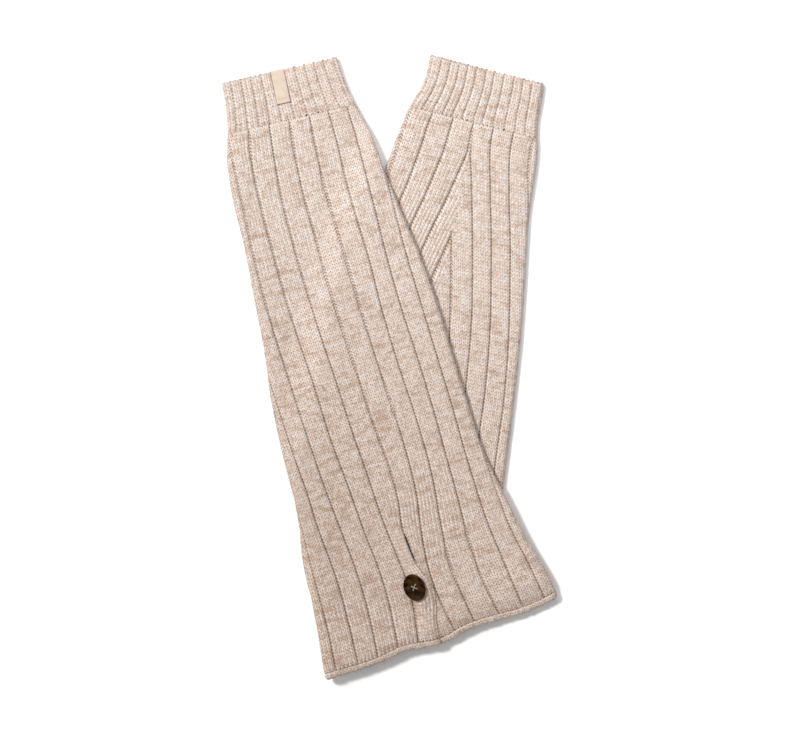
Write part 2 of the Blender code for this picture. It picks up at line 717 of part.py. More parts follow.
def button_disc():
    """Rim and dish, drawn out to an oval."""
    bm = bmesh.new()
    rings = []
    for share, height in BUTTON_PROFILE:
        ring = []
        for k in range(BUTTON_SEGMENTS):
            turn = 2 * pi * k / BUTTON_SEGMENTS
            x = BUTTON_HALF_WIDTH * share * cos(turn)
            y = BUTTON_HALF_LENGTH * share * sin(turn)
            ring.append((x, y, height))
        rings.append(add_ring(bm, ring))
    for first, second in zip(rings, rings[1:]):
        join_rings(bm, first, second)
    bm.faces.new(rings[0])
    bm.faces.new(rings[-1])
    return finished_mesh("over_button", bm)


def hole_places():
    return [(x * HOLE_SPREAD, y * HOLE_SPREAD) for x, y in ((1, 1), (-1, 1), (-1, -1), (1, -1))]


def button(frame):
    disc = new_object("over_button", button_disc(), BUTTON_COLOUR, BUTTON_ROUGHNESS)
    disc.parent = frame
    bm = bmesh.new()
    for x, y in hole_places():
        made = bmesh.ops.create_cone(
            bm,
            cap_ends=True,
            segments=HOLE_SEGMENTS,
            radius1=HOLE_RADIUS * MM,
            radius2=HOLE_RADIUS * MM,
            depth=4 * BUTTON_THICK * MM,
        )
        bmesh.ops.translate(bm, verts=made["verts"], vec=(x * MM, y * MM, 0))
    drill = bpy.data.objects.new("button_holes", finished_mesh("button_holes", bm))
    bpy.context.scene.collection.objects.link(drill)
    drill.parent = frame
    drill.hide_render = True
    drill.display_type = "WIRE"
    cut = disc.modifiers.new("holes", "BOOLEAN")
    cut.operation = "DIFFERENCE"
    cut.object = drill


def strand(name, x, y):
    """One stitch: up through a hole, across the dish and down through the opposite hole."""
    over = BUTTON_FLOOR + SEAM_GAP + THREAD_RADIUS
    curve = bpy.data.curves.new(name, "CURVE")
    curve.dimensions = "3D"
    curve.bevel_depth = THREAD_RADIUS * MM
    curve.bevel_resolution = 1
    curve.use_fill_caps = True
    bend_x = THREAD_BEND_SHARE * x
    bend_y = THREAD_BEND_SHARE * y
    route = [(x, y, THREAD_FOOT), (x, y, over - THREAD_BEND), (bend_x, bend_y, over)]
    route += [(-bend_x, -bend_y, over), (-x, -y, over - THREAD_BEND), (-x, -y, THREAD_FOOT)]
    line = curve.splines.new("POLY")
    line.points.add(len(route) - 1)
    for point, place in zip(line.points, route):
        point.co = (place[0] * MM, place[1] * MM, place[2] * MM, 1.0)
    return curve


def button_thread(frame):
    """Two stitches that cross in the middle of the dish, joined there."""
    places = hole_places()
    strands = []
    for i in range(2):
        guide = bpy.data.objects.new("strand_guide", strand("strand", *places[i]))
        bpy.context.scene.collection.objects.link(guide)
        bpy.context.view_layer.update()
        shape = guide.evaluated_get(bpy.context.evaluated_depsgraph_get())
        strands.append(bpy.data.meshes.new_from_object(shape))
        bpy.data.objects.remove(guide)
    thread = new_object("over_button_thread", strands[0], THREAD_COLOUR, KNIT_ROUGHNESS)
    thread.parent = frame
    other = bpy.data.objects.new("second_strand", strands[1])
    bpy.context.scene.collection.objects.link(other)
    other.parent = frame
    other.hide_render = True
    other.display_type = "WIRE"
    join = thread.modifiers.new("crossing", "BOOLEAN")
    join.operation = "UNION"
    join.object = other


def centre_on_footprint():
    """Moves everything so that the pair's box stands on the middle of its underside."""
    bpy.context.view_layer.update()
    corners = []
    for obj in bpy.data.objects:
        if obj.type == "MESH" and not obj.hide_render:
            corners += [obj.matrix_world @ vertex.co for vertex in obj.data.vertices]
    points = np.array(corners)
    middle = (points.min(axis=0) + points.max(axis=0)) / 2
    middle[2] = points[:, 2].min()
    for obj in bpy.data.objects:
        if obj.parent is None:
            obj.location -= Vector(middle)


def main():
    for obj in list(bpy.data.objects):
        bpy.data.objects.remove(obj)
    for prefix, lay, cuff_length, grooves, cuff_share, count in (
        ("over", OVER_LAY, OVER_CUFF_LENGTH, front_grooves, OVER_CUFF_SHARE, OVER_PLAIN),
        ("under", UNDER_LAY, UNDER_CUFF_LENGTH, back_grooves, UNDER_CUFF_SHARE, UNDER_PLAIN),
    ):
        leg_start = cuff_length + SEAM_GAP
        leg_end = lay.length - ROLL_LENGTH
        rows = round((leg_end - leg_start) / ROW_STEP)
        cuff = (0.0, cuff_length, CUFF_ROWS, cuff_grooves(cuff_share), CUFF_RISE, CUFF_PLAIN)
        leg = (leg_start, leg_end, rows, grooves, RIB_RISE, count)
        tube(prefix + "_cuff", lay, *cuff, CUFF_COLOUR)
        tube(prefix + "_leg", lay, *leg, KNIT_COLOUR)
        rolled_edge(prefix + "_hem", lay, CUFF_COLOUR, vented=prefix == "over")
    button_band()
    label()
    frame = button_frame()
    button(frame)
    button_thread(frame)
    centre_on_footprint()


main()
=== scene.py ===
# %% [markdown]
# # A pair of knitted leg warmers, laid crossed
#
# Each leg warmer is a tube of ribbed knitting pressed flat: a narrow-ribbed cuff, a wide-ribbed leg
# that flares to the hem, and an edge that rolls up on itself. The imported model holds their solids.
# This lesson dresses those solids: every stitch that shows is raised in the mesh, and the marled
# yarn, the woven label and the horn button get their finish from nodes.

from collections import namedtuple
from math import cos, inf, pi, radians, sin

import bmesh
import bpy
import numpy as np
from mathutils import Matrix, Vector


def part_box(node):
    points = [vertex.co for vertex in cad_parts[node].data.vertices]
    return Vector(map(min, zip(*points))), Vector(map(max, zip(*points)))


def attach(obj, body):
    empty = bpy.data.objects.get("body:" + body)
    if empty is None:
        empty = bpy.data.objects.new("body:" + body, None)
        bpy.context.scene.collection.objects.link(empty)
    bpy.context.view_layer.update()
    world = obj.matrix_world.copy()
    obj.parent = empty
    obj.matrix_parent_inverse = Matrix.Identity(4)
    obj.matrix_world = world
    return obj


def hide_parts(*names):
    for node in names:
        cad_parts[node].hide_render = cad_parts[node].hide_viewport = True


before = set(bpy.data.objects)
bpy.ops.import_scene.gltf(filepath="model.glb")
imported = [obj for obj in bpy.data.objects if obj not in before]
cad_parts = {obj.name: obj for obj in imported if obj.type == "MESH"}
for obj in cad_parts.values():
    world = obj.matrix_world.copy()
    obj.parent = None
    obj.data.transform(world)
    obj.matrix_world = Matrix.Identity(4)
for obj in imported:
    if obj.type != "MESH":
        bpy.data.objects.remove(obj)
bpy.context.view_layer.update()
print("solids:", ", ".join(sorted(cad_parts)))

# %% [markdown]
# ## Camera, floor and light
#
# The pair was photographed from straight above on white. A camera with a long lens, high over the
# table, sees it without perspective, as a flat-lay studio does. One pixel of the photograph is
# about 0.73 mm, which the button's size gives, so that number and the height give the lens.

# %% Camera
MM = 0.001
PHOTO_SIZE = (785, 742)
PIXEL = 0.7275  # millimetres of the table in one pixel of the photograph
PAIR_MIDDLE = (389.8, 367.8)
CAMERA_HEIGHT = 3.0  # metres
SENSOR = 36.0

lens = bpy.data.cameras.new("table_camera")
lens.sensor_width = SENSOR
lens.lens = SENSOR * CAMERA_HEIGHT / (PHOTO_SIZE[0] * PIXEL * MM)
lens.clip_end = 20.0
camera = bpy.data.objects.new("table_camera", lens)
bpy.context.scene.collection.objects.link(camera)
camera.location = (
    (PHOTO_SIZE[0] / 2 - PAIR_MIDDLE[0]) * PIXEL * MM,
    (PAIR_MIDDLE[1] - PHOTO_SIZE[1] / 2) * PIXEL * MM,
    CAMERA_HEIGHT,
)
bpy.context.scene.camera = camera
print("lens in mm:", round(lens.lens))

# %% [markdown]
# The light is soft: a white room all round, a broad key light from the upper left that gives the
# thin grey shadow along the right and lower edges, and a wide lamp near the upper right whose
# falloff leaves the lower left of the pair a little darker. The knit's colour also carries painted
# shade there.

# %% Floor and lights
ROOM_STRENGTH = 0.5
KEY_STRENGTH = 2.9
KEY_ANGLE = 12.0
KEY_FROM = (-0.62, 0.42, 0.85)
FILL_POWER = 1.0
FILL_SIZE = 0.3
FILL_PLACE = (0.02, 0.38, 0.5)
FLOOR_HALF = 6.0
FLOOR_COLOUR = (0.93, 0.93, 0.93, 1.0)

bpy.context.scene.view_settings.view_transform = "Standard"
room = bpy.context.scene.world or bpy.data.worlds.new("room")
bpy.context.scene.world = room
room.use_nodes = True
room.node_tree.nodes["Background"].inputs["Color"].default_value = (1.0, 1.0, 1.0, 1.0)
room.node_tree.nodes["Background"].inputs["Strength"].default_value = ROOM_STRENGTH


def add_lamp(name, kind, place, energy):
    """A lamp at a place, in metres, aimed at the middle of the pair."""
    lamp = bpy.data.lights.new(name, kind)
    lamp.energy = energy
    holder = bpy.data.objects.new(name, lamp)
    holder.location = place
    holder.rotation_euler = Vector(place).to_track_quat("Z", "Y").to_euler()
    bpy.context.scene.collection.objects.link(holder)
    return lamp


add_lamp("key", "SUN", KEY_FROM, KEY_STRENGTH).angle = radians(KEY_ANGLE)
add_lamp("fill", "AREA", FILL_PLACE, FILL_POWER).size = FILL_SIZE

floor_mesh = bpy.data.meshes.new("floor")
corners = [(x * FLOOR_HALF, y * FLOOR_HALF, 0.0) for x, y in ((-1, -1), (1, -1), (1, 1), (-1, 1))]
floor_mesh.from_pydata(corners, [], [(0, 1, 2, 3)])
floor = bpy.data.objects.new("floor", floor_mesh)
bpy.context.scene.collection.objects.link(floor)
floor_paint = bpy.data.materials.new("white_floor")
floor_paint.use_nodes = True
paint = floor_paint.node_tree.nodes["Principled BSDF"].inputs
for label, value in (("Base Color", FLOOR_COLOUR), ("Roughness", 1.0), ("Specular IOR Level", 0.0)):
    paint[label].default_value = value
floor_mesh.materials.append(floor_paint)

# %% [markdown]
# ## Node trees written as Python
#
# Shaders and Geometry Nodes are both graphs of small steps. Two helpers keep them readable here. A
# `Wire` wraps one socket, so that `1 - mask * 0.5` adds the two Math nodes that it says. A `Bench`
# makes every other node: its kind, its settings, and what goes into its sockets.

# %% Wire and Bench


class Wire:
    """A socket that takes part in Python arithmetic."""

    def __init__(self, bench, socket):
        self.bench = bench
        self.socket = socket

    def __add__(self, other):
        return self.bench.maths("ADD", self, other)

    def __sub__(self, other):
        return self.bench.maths("SUBTRACT", self, other)

    def __rsub__(self, other):
        return self.bench.maths("SUBTRACT", other, self)

    def __mul__(self, other):
        return self.bench.maths("MULTIPLY", self, other)

    def __abs__(self):
        return self.bench.maths("ABSOLUTE", self)

    __radd__ = __add__
    __rmul__ = __mul__


class Bench:
    """Makes the nodes of one tree and joins them."""

    def __init__(self, tree):
        self.tree = tree

    def join(self, value, socket):
        if isinstance(value, Wire):
            self.tree.links.new(value.socket, socket)
        else:
            socket.default_value = value

    def node(self, kind, sockets=(), out=0, **settings):
        """A node of this kind, with its settings made first; its output is returned as a Wire."""
        made = self.tree.nodes.new(kind)
        for name, value in settings.items():
            setattr(made, name, value)
        for name, value in dict(sockets).items():
            self.join(value, made.inputs[name])
        return Wire(self, made.outputs[out]) if len(made.outputs) else made

    def maths(self, operation, *values):
        return self.node("ShaderNodeMath", dict(enumerate(values)), operation=operation)

    def whole(self, value):
        return self.maths("FLOOR", value)

    def smooth_step(self, value, low, high):
        """0 below low, 1 above high, and a soft step between."""
        sockets = {"Value": value, "From Min": low, "From Max": high}
        return self.node("ShaderNodeMapRange", sockets, interpolation_type="SMOOTHSTEP")

    def triple(self, x, y, z):
        return self.node("ShaderNodeCombineXYZ", {"X": x, "Y": y, "Z": z})


# %% [markdown]
# ## The maker's sizes
#
# A knitter counts stitches: a column of them is a wale, a row of them is a course. The wide ribs
# have five knit wales and one purl wale, and the cuff has two and one. The sizes below are the
# ones that the solids are made from, in millimetres, so that the dressed pieces lie on them.

# %% Sizes of the pair
LENGTH = 430.0  # cuff edge to hem
OVER_CUFF_LENGTH = 36.0
UNDER_CUFF_LENGTH = 39.0
CUFF_SHIFT = 0.8  # the cuffs' edges and seams lie this far down in the middle
CUFF_SLANT = 0.048  # and this much more for each 1 across
CUFF_SLANT_END = 110.0
ROLL_LENGTH = 4.5
SEAM = 0.12  # between neighbouring pieces as they are drawn here
WALL = 2.1
HOLLOW = 0.7
FLAT_HEIGHT = 2 * WALL + HOLLOW
RIB_RISE = 1.0
RIB_PITCH = 15.7
RIB_WALES = 6
WALE = RIB_PITCH / RIB_WALES
COURSE = 2.4
CUFF_RIB_WALES = 3
SIDE_ROUND = 3.0
FOLD = pi * ((SIDE_ROUND**2 + (FLAT_HEIGHT / 2) ** 2) / 2) ** 0.5  # way round a side fold

# half: half the flat width of the one on top, at distances along.
Width = namedtuple("Width", "at half")
WIDTHS = [
    Width(0, 42.6), Width(15, 43.6), Width(28, 45.5), Width(40, 48.3), Width(57, 52.5), Width(80, 54.8),
    Width(106, 56.4), Width(129, 58.5), Width(150, 60.9), Width(187, 63.9), Width(227, 67.1),
    Width(262, 68.8), Width(305, 70.3), Width(338, 74.3), Width(360, 77.7), Width(387, 82.2),
    Width(418, 87.5), Width(430, 89.0),
]

# The one on top. drift: its middle from a straight centre line. The others are its grooves, from
# that line: the one that runs down to the vent, and those to its left and right.
Front = namedtuple(
    "Front", "at drift left5 left4 left3 left2 left1 vent right1 right2 right3 right4 right5"
)
FRONT = [
    Front(0, -0.6, -77.5, -63.0, -49.0, -33.0, -18.0, -3.4, 11.4, 25.5, 39.6, 53.0, 67.0),
    Front(36, -1.7, -77.6, -63.4, -49.6, -33.8, -18.6, -3.6, 11.4, 25.5, 39.6, 53.0, 67.0),
    Front(60, -2.5, -79.0, -65.0, -51.5, -38.1, -21.4, -6.1, 9.7, 25.6, 40.0, 53.5, 67.3),
    Front(90, -3.0, -81.0, -67.0, -53.1, -40.3, -24.2, -8.3, 8.0, 24.3, 39.4, 53.3, 67.2),
    Front(120, -2.0, -83.0, -69.0, -55.0, -40.9, -25.1, -8.3, 8.1, 24.2, 38.8, 52.5, 66.4),
    Front(150, -1.3, -84.3, -70.2, -56.2, -41.2, -25.1, -8.9, 8.6, 24.9, 37.8, 51.9, 66.0),
    Front(190, -1.4, -84.0, -70.0, -56.0, -40.5, -24.2, -7.8, 9.2, 23.9, 37.8, 52.4, 66.5),
    Front(230, -3.7, -82.0, -68.2, -54.6, -38.4, -22.2, -6.1, 10.5, 24.6, 39.3, 53.2, 66.9),
    Front(270, -4.3, -79.5, -66.6, -52.8, -37.3, -20.7, -4.3, 12.5, 26.4, 40.2, 54.0, 67.0),
    Front(305, -4.1, -75.5, -64.3, -50.7, -34.4, -18.5, -1.8, 12.7, 26.7, 40.0, 54.0, 66.8),
    Front(325, -3.6, -75.0, -63.9, -49.0, -33.0, -17.6, -2.3, 11.7, 25.5, 40.1, 54.4, 67.2),
    Front(345, -2.3, -75.8, -62.3, -47.1, -31.7, -16.1, -4.9, 8.6, 23.3, 39.6, 55.0, 68.6),
    Front(362, -2.1, -76.3, -61.0, -45.6, -29.8, -14.1, -5.0, 6.5, 21.9, 39.0, 56.1, 69.9),
    Front(378, -1.5, -76.5, -60.6, -45.0, -28.9, -12.4, -4.0, 5.5, 21.2, 39.7, 58.0, 72.4),
    Front(395, -0.3, -77.0, -61.2, -45.2, -28.9, -12.0, -3.5, 6.3, 22.5, 40.6, 60.1, 76.0),
    Front(410, 0.7, -77.9, -61.7, -46.1, -29.9, -13.6, -4.5, 8.6, 24.6, 42.9, 61.9, 78.4),
    Front(430, 1.0, -79.4, -62.5, -47.5, -31.4, -16.7, -6.0, 12.2, 27.5, 46.2, 64.2, 81.2),
]
VENT_NUMBER = Front._fields.index("vent")

# The one beneath. left: a groove of its left side, and left_pitch from it to the left edge. right
# and right_pitch: the same for its right side. meeting: the line where the two sides meet.
Back = namedtuple("Back", "at half drift left left_pitch right right_pitch")
BACK = [
    Back(0, 42.0, 0.1, -1.5, 15.2, -2.0, 15.1),
    Back(16, 42.8, 0.3, -1.5, 15.2, -2.0, 15.1),
    Back(26, 44.2, -0.6, -1.5, 15.2, -2.0, 15.1),
    Back(36, 46.8, -1.9, -1.5, 15.2, -2.0, 15.1),
    Back(50, 49.7, -2.0, -1.6, 16.2, -1.6, 14.9),
    Back(64, 51.6, -2.7, -2.3, 16.6, 0.9, 14.4),
    Back(80, 53.1, -3.6, -5.8, 16.0, 4.6, 14.1),
    Back(100, 55.7, -4.8, -10.2, 15.6, 9.1, 13.9),
    Back(120, 58.8, -5.3, -15.6, 15.2, 13.5, 14.0),
    Back(145, 62.1, -5.2, -21.5, 15.1, 18.7, 13.9),
    Back(180, 65.1, -3.6, -29.5, 15.4, 25.2, 13.9),
    Back(230, 67.8, -1.4, -39.0, 15.7, 30.9, 14.4),
    Back(285, 70.7, -0.1, -47.0, 15.7, 33.4, 15.0),
    Back(310, 72.2, 0.0, -50.0, 15.7, 34.3, 15.7),
    Back(340, 76.7, 0.0, -54.0, 15.9, 35.2, 16.1),
    Back(370, 82.1, 0.0, -58.0, 16.1, 36.1, 16.4),
    Back(400, 86.6, 0.0, -62.0, 16.3, 37.0, 16.7),
    Back(430, 89.6, 0.0, -66.0, 16.5, 38.0, 17.0),
]
Meeting = namedtuple("Meeting", "at place")
MEETINGS = [
    Meeting(0, -1.2), Meeting(38, -1.2), Meeting(62, -0.4), Meeting(80, -0.7), Meeting(110, -0.6),
    Meeting(122, -0.9), Meeting(145, -1.3), Meeting(200, -2.5), Meeting(430, -3.0),
]

# The hem of the one on top. at: across from its middle. past: how far it lies past the length.
Hem = namedtuple("Hem", "at past")
HEM = [
    Hem(-90, 5.2), Hem(-63, 4.7), Hem(-50, 4.2), Hem(-39, 2.3), Hem(-28, 0.9), Hem(-16, 1.7),
    Hem(-4, 2.9), Hem(5, 2.2), Hem(15, -0.8), Hem(30, -2.4), Hem(60, -2.3), Hem(76, -3.9),
    Hem(90, -7.2),
]
HEM_SHIFT_START = 330.0

# The vent's overlap. left: its groove, free: its free edge, from the straight centre line.
Band = namedtuple("Band", "at left free")
BAND = [
    Band(338, -16.3, -5.3), Band(356, -14.8, -4.6), Band(370, -13.1, -2.7), Band(380, -12.3, 1.6),
    Band(390, -12.0, 4.6), Band(400, -12.3, 3.7), Band(411, -13.8, 0.9), Band(426, -16.3, -1.1),
]


def smooth(table, column, at):
    """The table's column at each distance, on a smooth curve through its rows."""
    knots = np.array([row.at for row in table], float)
    values = np.array([getattr(row, column) for row in table], float)
    slopes = np.gradient(values, knots)
    at = np.asarray(at, float)
    i = np.clip(np.searchsorted(knots, at) - 1, 0, len(knots) - 2)
    step = knots[i + 1] - knots[i]
    u = np.clip((at - knots[i]) / step, 0, 1)
    start = (2 * u**3 - 3 * u**2 + 1) * values[i] + (u**3 - 2 * u**2 + u) * step * slopes[i]
    end = (3 * u**2 - 2 * u**3) * values[i + 1] + (u**3 - u**2) * step * slopes[i + 1]
    return start + end


def ease(value, low, high):
    """0 below low, 1 above high, and a soft step between."""
    u = np.clip((np.asarray(value, float) - low) / (high - low), 0, 1)
    return u * u * (3 - 2 * u)


print("stitches across the hem, laid flat:", round(2 * smooth(WIDTHS, "half", LENGTH) / WALE))

# %% [markdown]
# ## How the pair lies
#
# A lay turns a place on the garment, along it and across it, into a place on the table. The top
# one is straight. The lower one turns under it, out of sight. Where the top one crosses the lower
# one, it is held up by the thickness below it, in a soft ramp.

# %% The two lays
OVER_TOP = (-79.6, 216.1)
OVER_HEADING = 15.76
UNDER_TOP = (70.8, 216.5)
UNDER_HEADING = -11.5
UNDER_TURN = 36.0
UNDER_TURN_START = 280.0
UNDER_TURN_END = 400.0
UNDER_EASE_START = 300.0
UNDER_PLAN_LENGTH = 405.0
UNDER_HEM_EASE = 0.14
DRAPE_OUT = 32.0
DRAPE_IN = -4.0
DRAPE_HEM = 2.0
DRAPE_GAP = 0.6
CHUNK = 2000  # points whose distances are worked out at once


def slanted(along, across, cuff_length):
    """The cuff lies a little askew on its leg, and the leg's first rows with it."""
    return along + (CUFF_SHIFT + CUFF_SLANT * across) * (1 - ease(along, cuff_length, CUFF_SLANT_END))


class LowerLay:
    """The leg warmer beneath."""

    length = UNDER_PLAN_LENGTH
    cuff_length = UNDER_CUFF_LENGTH

    def __init__(self):
        steps = np.arange(int(UNDER_PLAN_LENGTH) + 1)
        turn = UNDER_TURN * ease(steps, UNDER_TURN_START, UNDER_TURN_END)
        self.heading = np.radians(UNDER_HEADING + turn)
        self.drift = smooth(BACK, "drift", steps)
        ahead = np.column_stack([np.sin(self.heading), -np.cos(self.heading)])
        self.middle = UNDER_TOP + np.vstack([[0, 0], np.cumsum(ahead[:-1], axis=0)])

    def half(self, along):
        hidden = np.clip((along - UNDER_EASE_START) / (UNDER_PLAN_LENGTH - UNDER_EASE_START), 0, None)
        knitted = along + (LENGTH - UNDER_PLAN_LENGTH) * hidden
        drawn_in = UNDER_HEM_EASE * ease(along, UNDER_EASE_START, UNDER_PLAN_LENGTH)
        return smooth(BACK, "half", knitted) * (1 - drawn_in)

    def drift_at(self, along):
        return smooth(BACK, "drift", along)

    def plan(self, along, across):
        along = slanted(along, across, self.cuff_length)
        i = np.clip(along, 0, len(self.heading) - 1).astype(int)
        heading = self.heading[i]
        aside = across + self.drift_at(along)
        x = self.middle[i, 0] + (along - i) * np.sin(heading) + aside * np.cos(heading)
        y = self.middle[i, 1] - (along - i) * np.cos(heading) + aside * np.sin(heading)
        return x - SHIFT[0], y - SHIFT[1]

    def inside(self, x, y):
        """Each point's distance inside this outline, negative outside."""
        points = np.column_stack([x, y]) + SHIFT
        found = np.empty(len(points))
        for first in range(0, len(points), CHUNK):
            away = points[first : first + CHUNK, None, :] - self.middle[None]
            i = (away**2).sum(axis=2).argmin(axis=1)
            away = away[np.arange(len(i)), i]
            heading = self.heading[i]
            beyond = away[:, 0] * np.sin(heading) - away[:, 1] * np.cos(heading)
            aside = away[:, 0] * np.cos(heading) + away[:, 1] * np.sin(heading)
            side = self.half(i.astype(float)) - np.abs(aside - self.drift[i])
            at_hem = i == len(self.heading) - 1
            found[first : first + CHUNK] = np.where(at_hem, np.minimum(side, DRAPE_HEM - beyond), side)
        return found

    def lift(self, x, y):
        return np.zeros(len(x))


class TopLay:
    """The leg warmer on top."""

    length = LENGTH
    cuff_length = OVER_CUFF_LENGTH

    def half(self, along):
        return smooth(WIDTHS, "half", along)

    def drift_at(self, along):
        return smooth(FRONT, "drift", along)

    def plan(self, along, across):
        heading = radians(OVER_HEADING)
        along = slanted(along, across, self.cuff_length)
        along = along + smooth(HEM, "past", across) * ease(along, HEM_SHIFT_START, LENGTH)
        aside = across + self.drift_at(along)
        x = OVER_TOP[0] + along * sin(heading) + aside * cos(heading)
        y = OVER_TOP[1] - along * cos(heading) + aside * sin(heading)
        return x - SHIFT[0], y - SHIFT[1]

    def lift(self, x, y):
        height = FLAT_HEIGHT + RIB_RISE + DRAPE_GAP
        return height * ease(LOWER.inside(x, y), -DRAPE_OUT, DRAPE_IN)


# The solids were moved so that their box is centred on the origin. The label's box gives the move.
LABEL_WIDTH = 9.8
LABEL_LENGTH = 23.6
LABEL_TOP_ACROSS = -1.6
LABEL_LEAN = -1.0
LABEL_OUTSIDE = -1.2  # along, of the fold over the cuff's edge
SHIFT = np.zeros(2)
LOWER = LowerLay()
TOP = TopLay()
label_along = np.array([LABEL_OUTSIDE, LABEL_OUTSIDE, LABEL_LENGTH, LABEL_LENGTH])
label_across = LABEL_TOP_ACROSS + LABEL_LEAN * label_along / LABEL_LENGTH
label_across += np.array([-1, 1, -1, 1]) * LABEL_WIDTH / 2
label_plan = np.column_stack(TOP.plan(label_along, label_across))
label_low, label_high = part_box("over_label")
label_middle = np.array((label_low + label_high) / 2)[:2] / MM
SHIFT = (label_plan.min(axis=0) + label_plan.max(axis=0)) / 2 - label_middle
print("the plan's move in mm:", SHIFT.round(2))

# %% [markdown]
# ## Marled yarn
#
# The yarn is an oatmeal marl: cream with tan twisted through it. In the cloth that shows as short
# tan dashes along the courses, in drifts, and as flecks on single stitches. The mesh carries its
# stitch numbers as attributes, `wale` and `course`, so noise that is read in stitches follows the
# knitting round every bend. `hollow` is 1 in the small gaps between stitches and `groove` is 1
# deep in a rib's groove; the colour is painted darker at both, as painted shade, and `groove` also
# carries painted shadow beside the overlap's edge. The colour is painted darker towards the lower
# left as well, a painted shade.

# %% Knit material
CREAM = (0.74, 0.625, 0.55, 1.0)
COOL_CREAM = (0.70, 0.645, 0.62, 1.0)  # of the drifts where the cream ply lies on top
# painted shade deep in a rib's groove, and in the other places that the groove attribute marks
PAINTED_GROOVE_SHADE = (0.125, 0.07, 0.044, 1.0)
# painted shadow in the slit beside the overlap's free edge
PAINTED_SLIT_SHADOW = (0.022, 0.013, 0.009, 1.0)
TAN = (0.42, 0.305, 0.235, 1.0)
# painted shade in the small gaps between stitches
PAINTED_HOLE_SHADE = (0.17, 0.105, 0.07, 1.0)
PAINTED_SHADE_PLACE = (-0.09, -0.20)  # the cloth is painted darker towards this place, in metres: painted shade for light that falls off there
PAINTED_SHADE_REACH = 0.36
PAINTED_SHADE_SHARE = 0.42
# The hole sizes below shape the painted shade in the gaps between stitches.
HOLE_STAGGER = -0.35  # courses between the holes beside a stitch and those in its middle
HOLE_FROM = 0.8
HOLE_TO = 1.4
LINE_SHARE = 0.1
DASH_CELLS = (0.22, 0.55)  # cells of noise for each wale and each course
DRIFT_CELLS = (0.085, 0.10)
BEAT_CELLS = (0.04, 0.35)  # down a groove
V_COURSES = 1.7  # the zigzag of a row, undone so that a dash runs straight
DASH_SHARE = 0.44  # how much tan each kind of mark brings
FLECK_SHARE = 0.28
PEPPER_SHARE = 0.46
# how much the painted lower-left shade deepens the painted shade in the gaps between stitches
PAINTED_SHADE_DEEPENS = 0.4


def read(bench, name):
    """One of the mesh's own numbers, as a Wire."""
    return bench.node("ShaderNodeAttribute", out="Fac", attribute_name=name)


def principled(name):
    """A new material, with the bench of its tree and its shader node."""
    made = bpy.data.materials.new(name)
    made.use_nodes = True
    return made, Bench(made.node_tree), made.node_tree.nodes["Principled BSDF"]


def blend_colours(bench, share, first, second):
    mixed = {"Factor": share, 6: first, 7: second}
    return bench.node("ShaderNodeMix", mixed, out=2, data_type="RGBA")


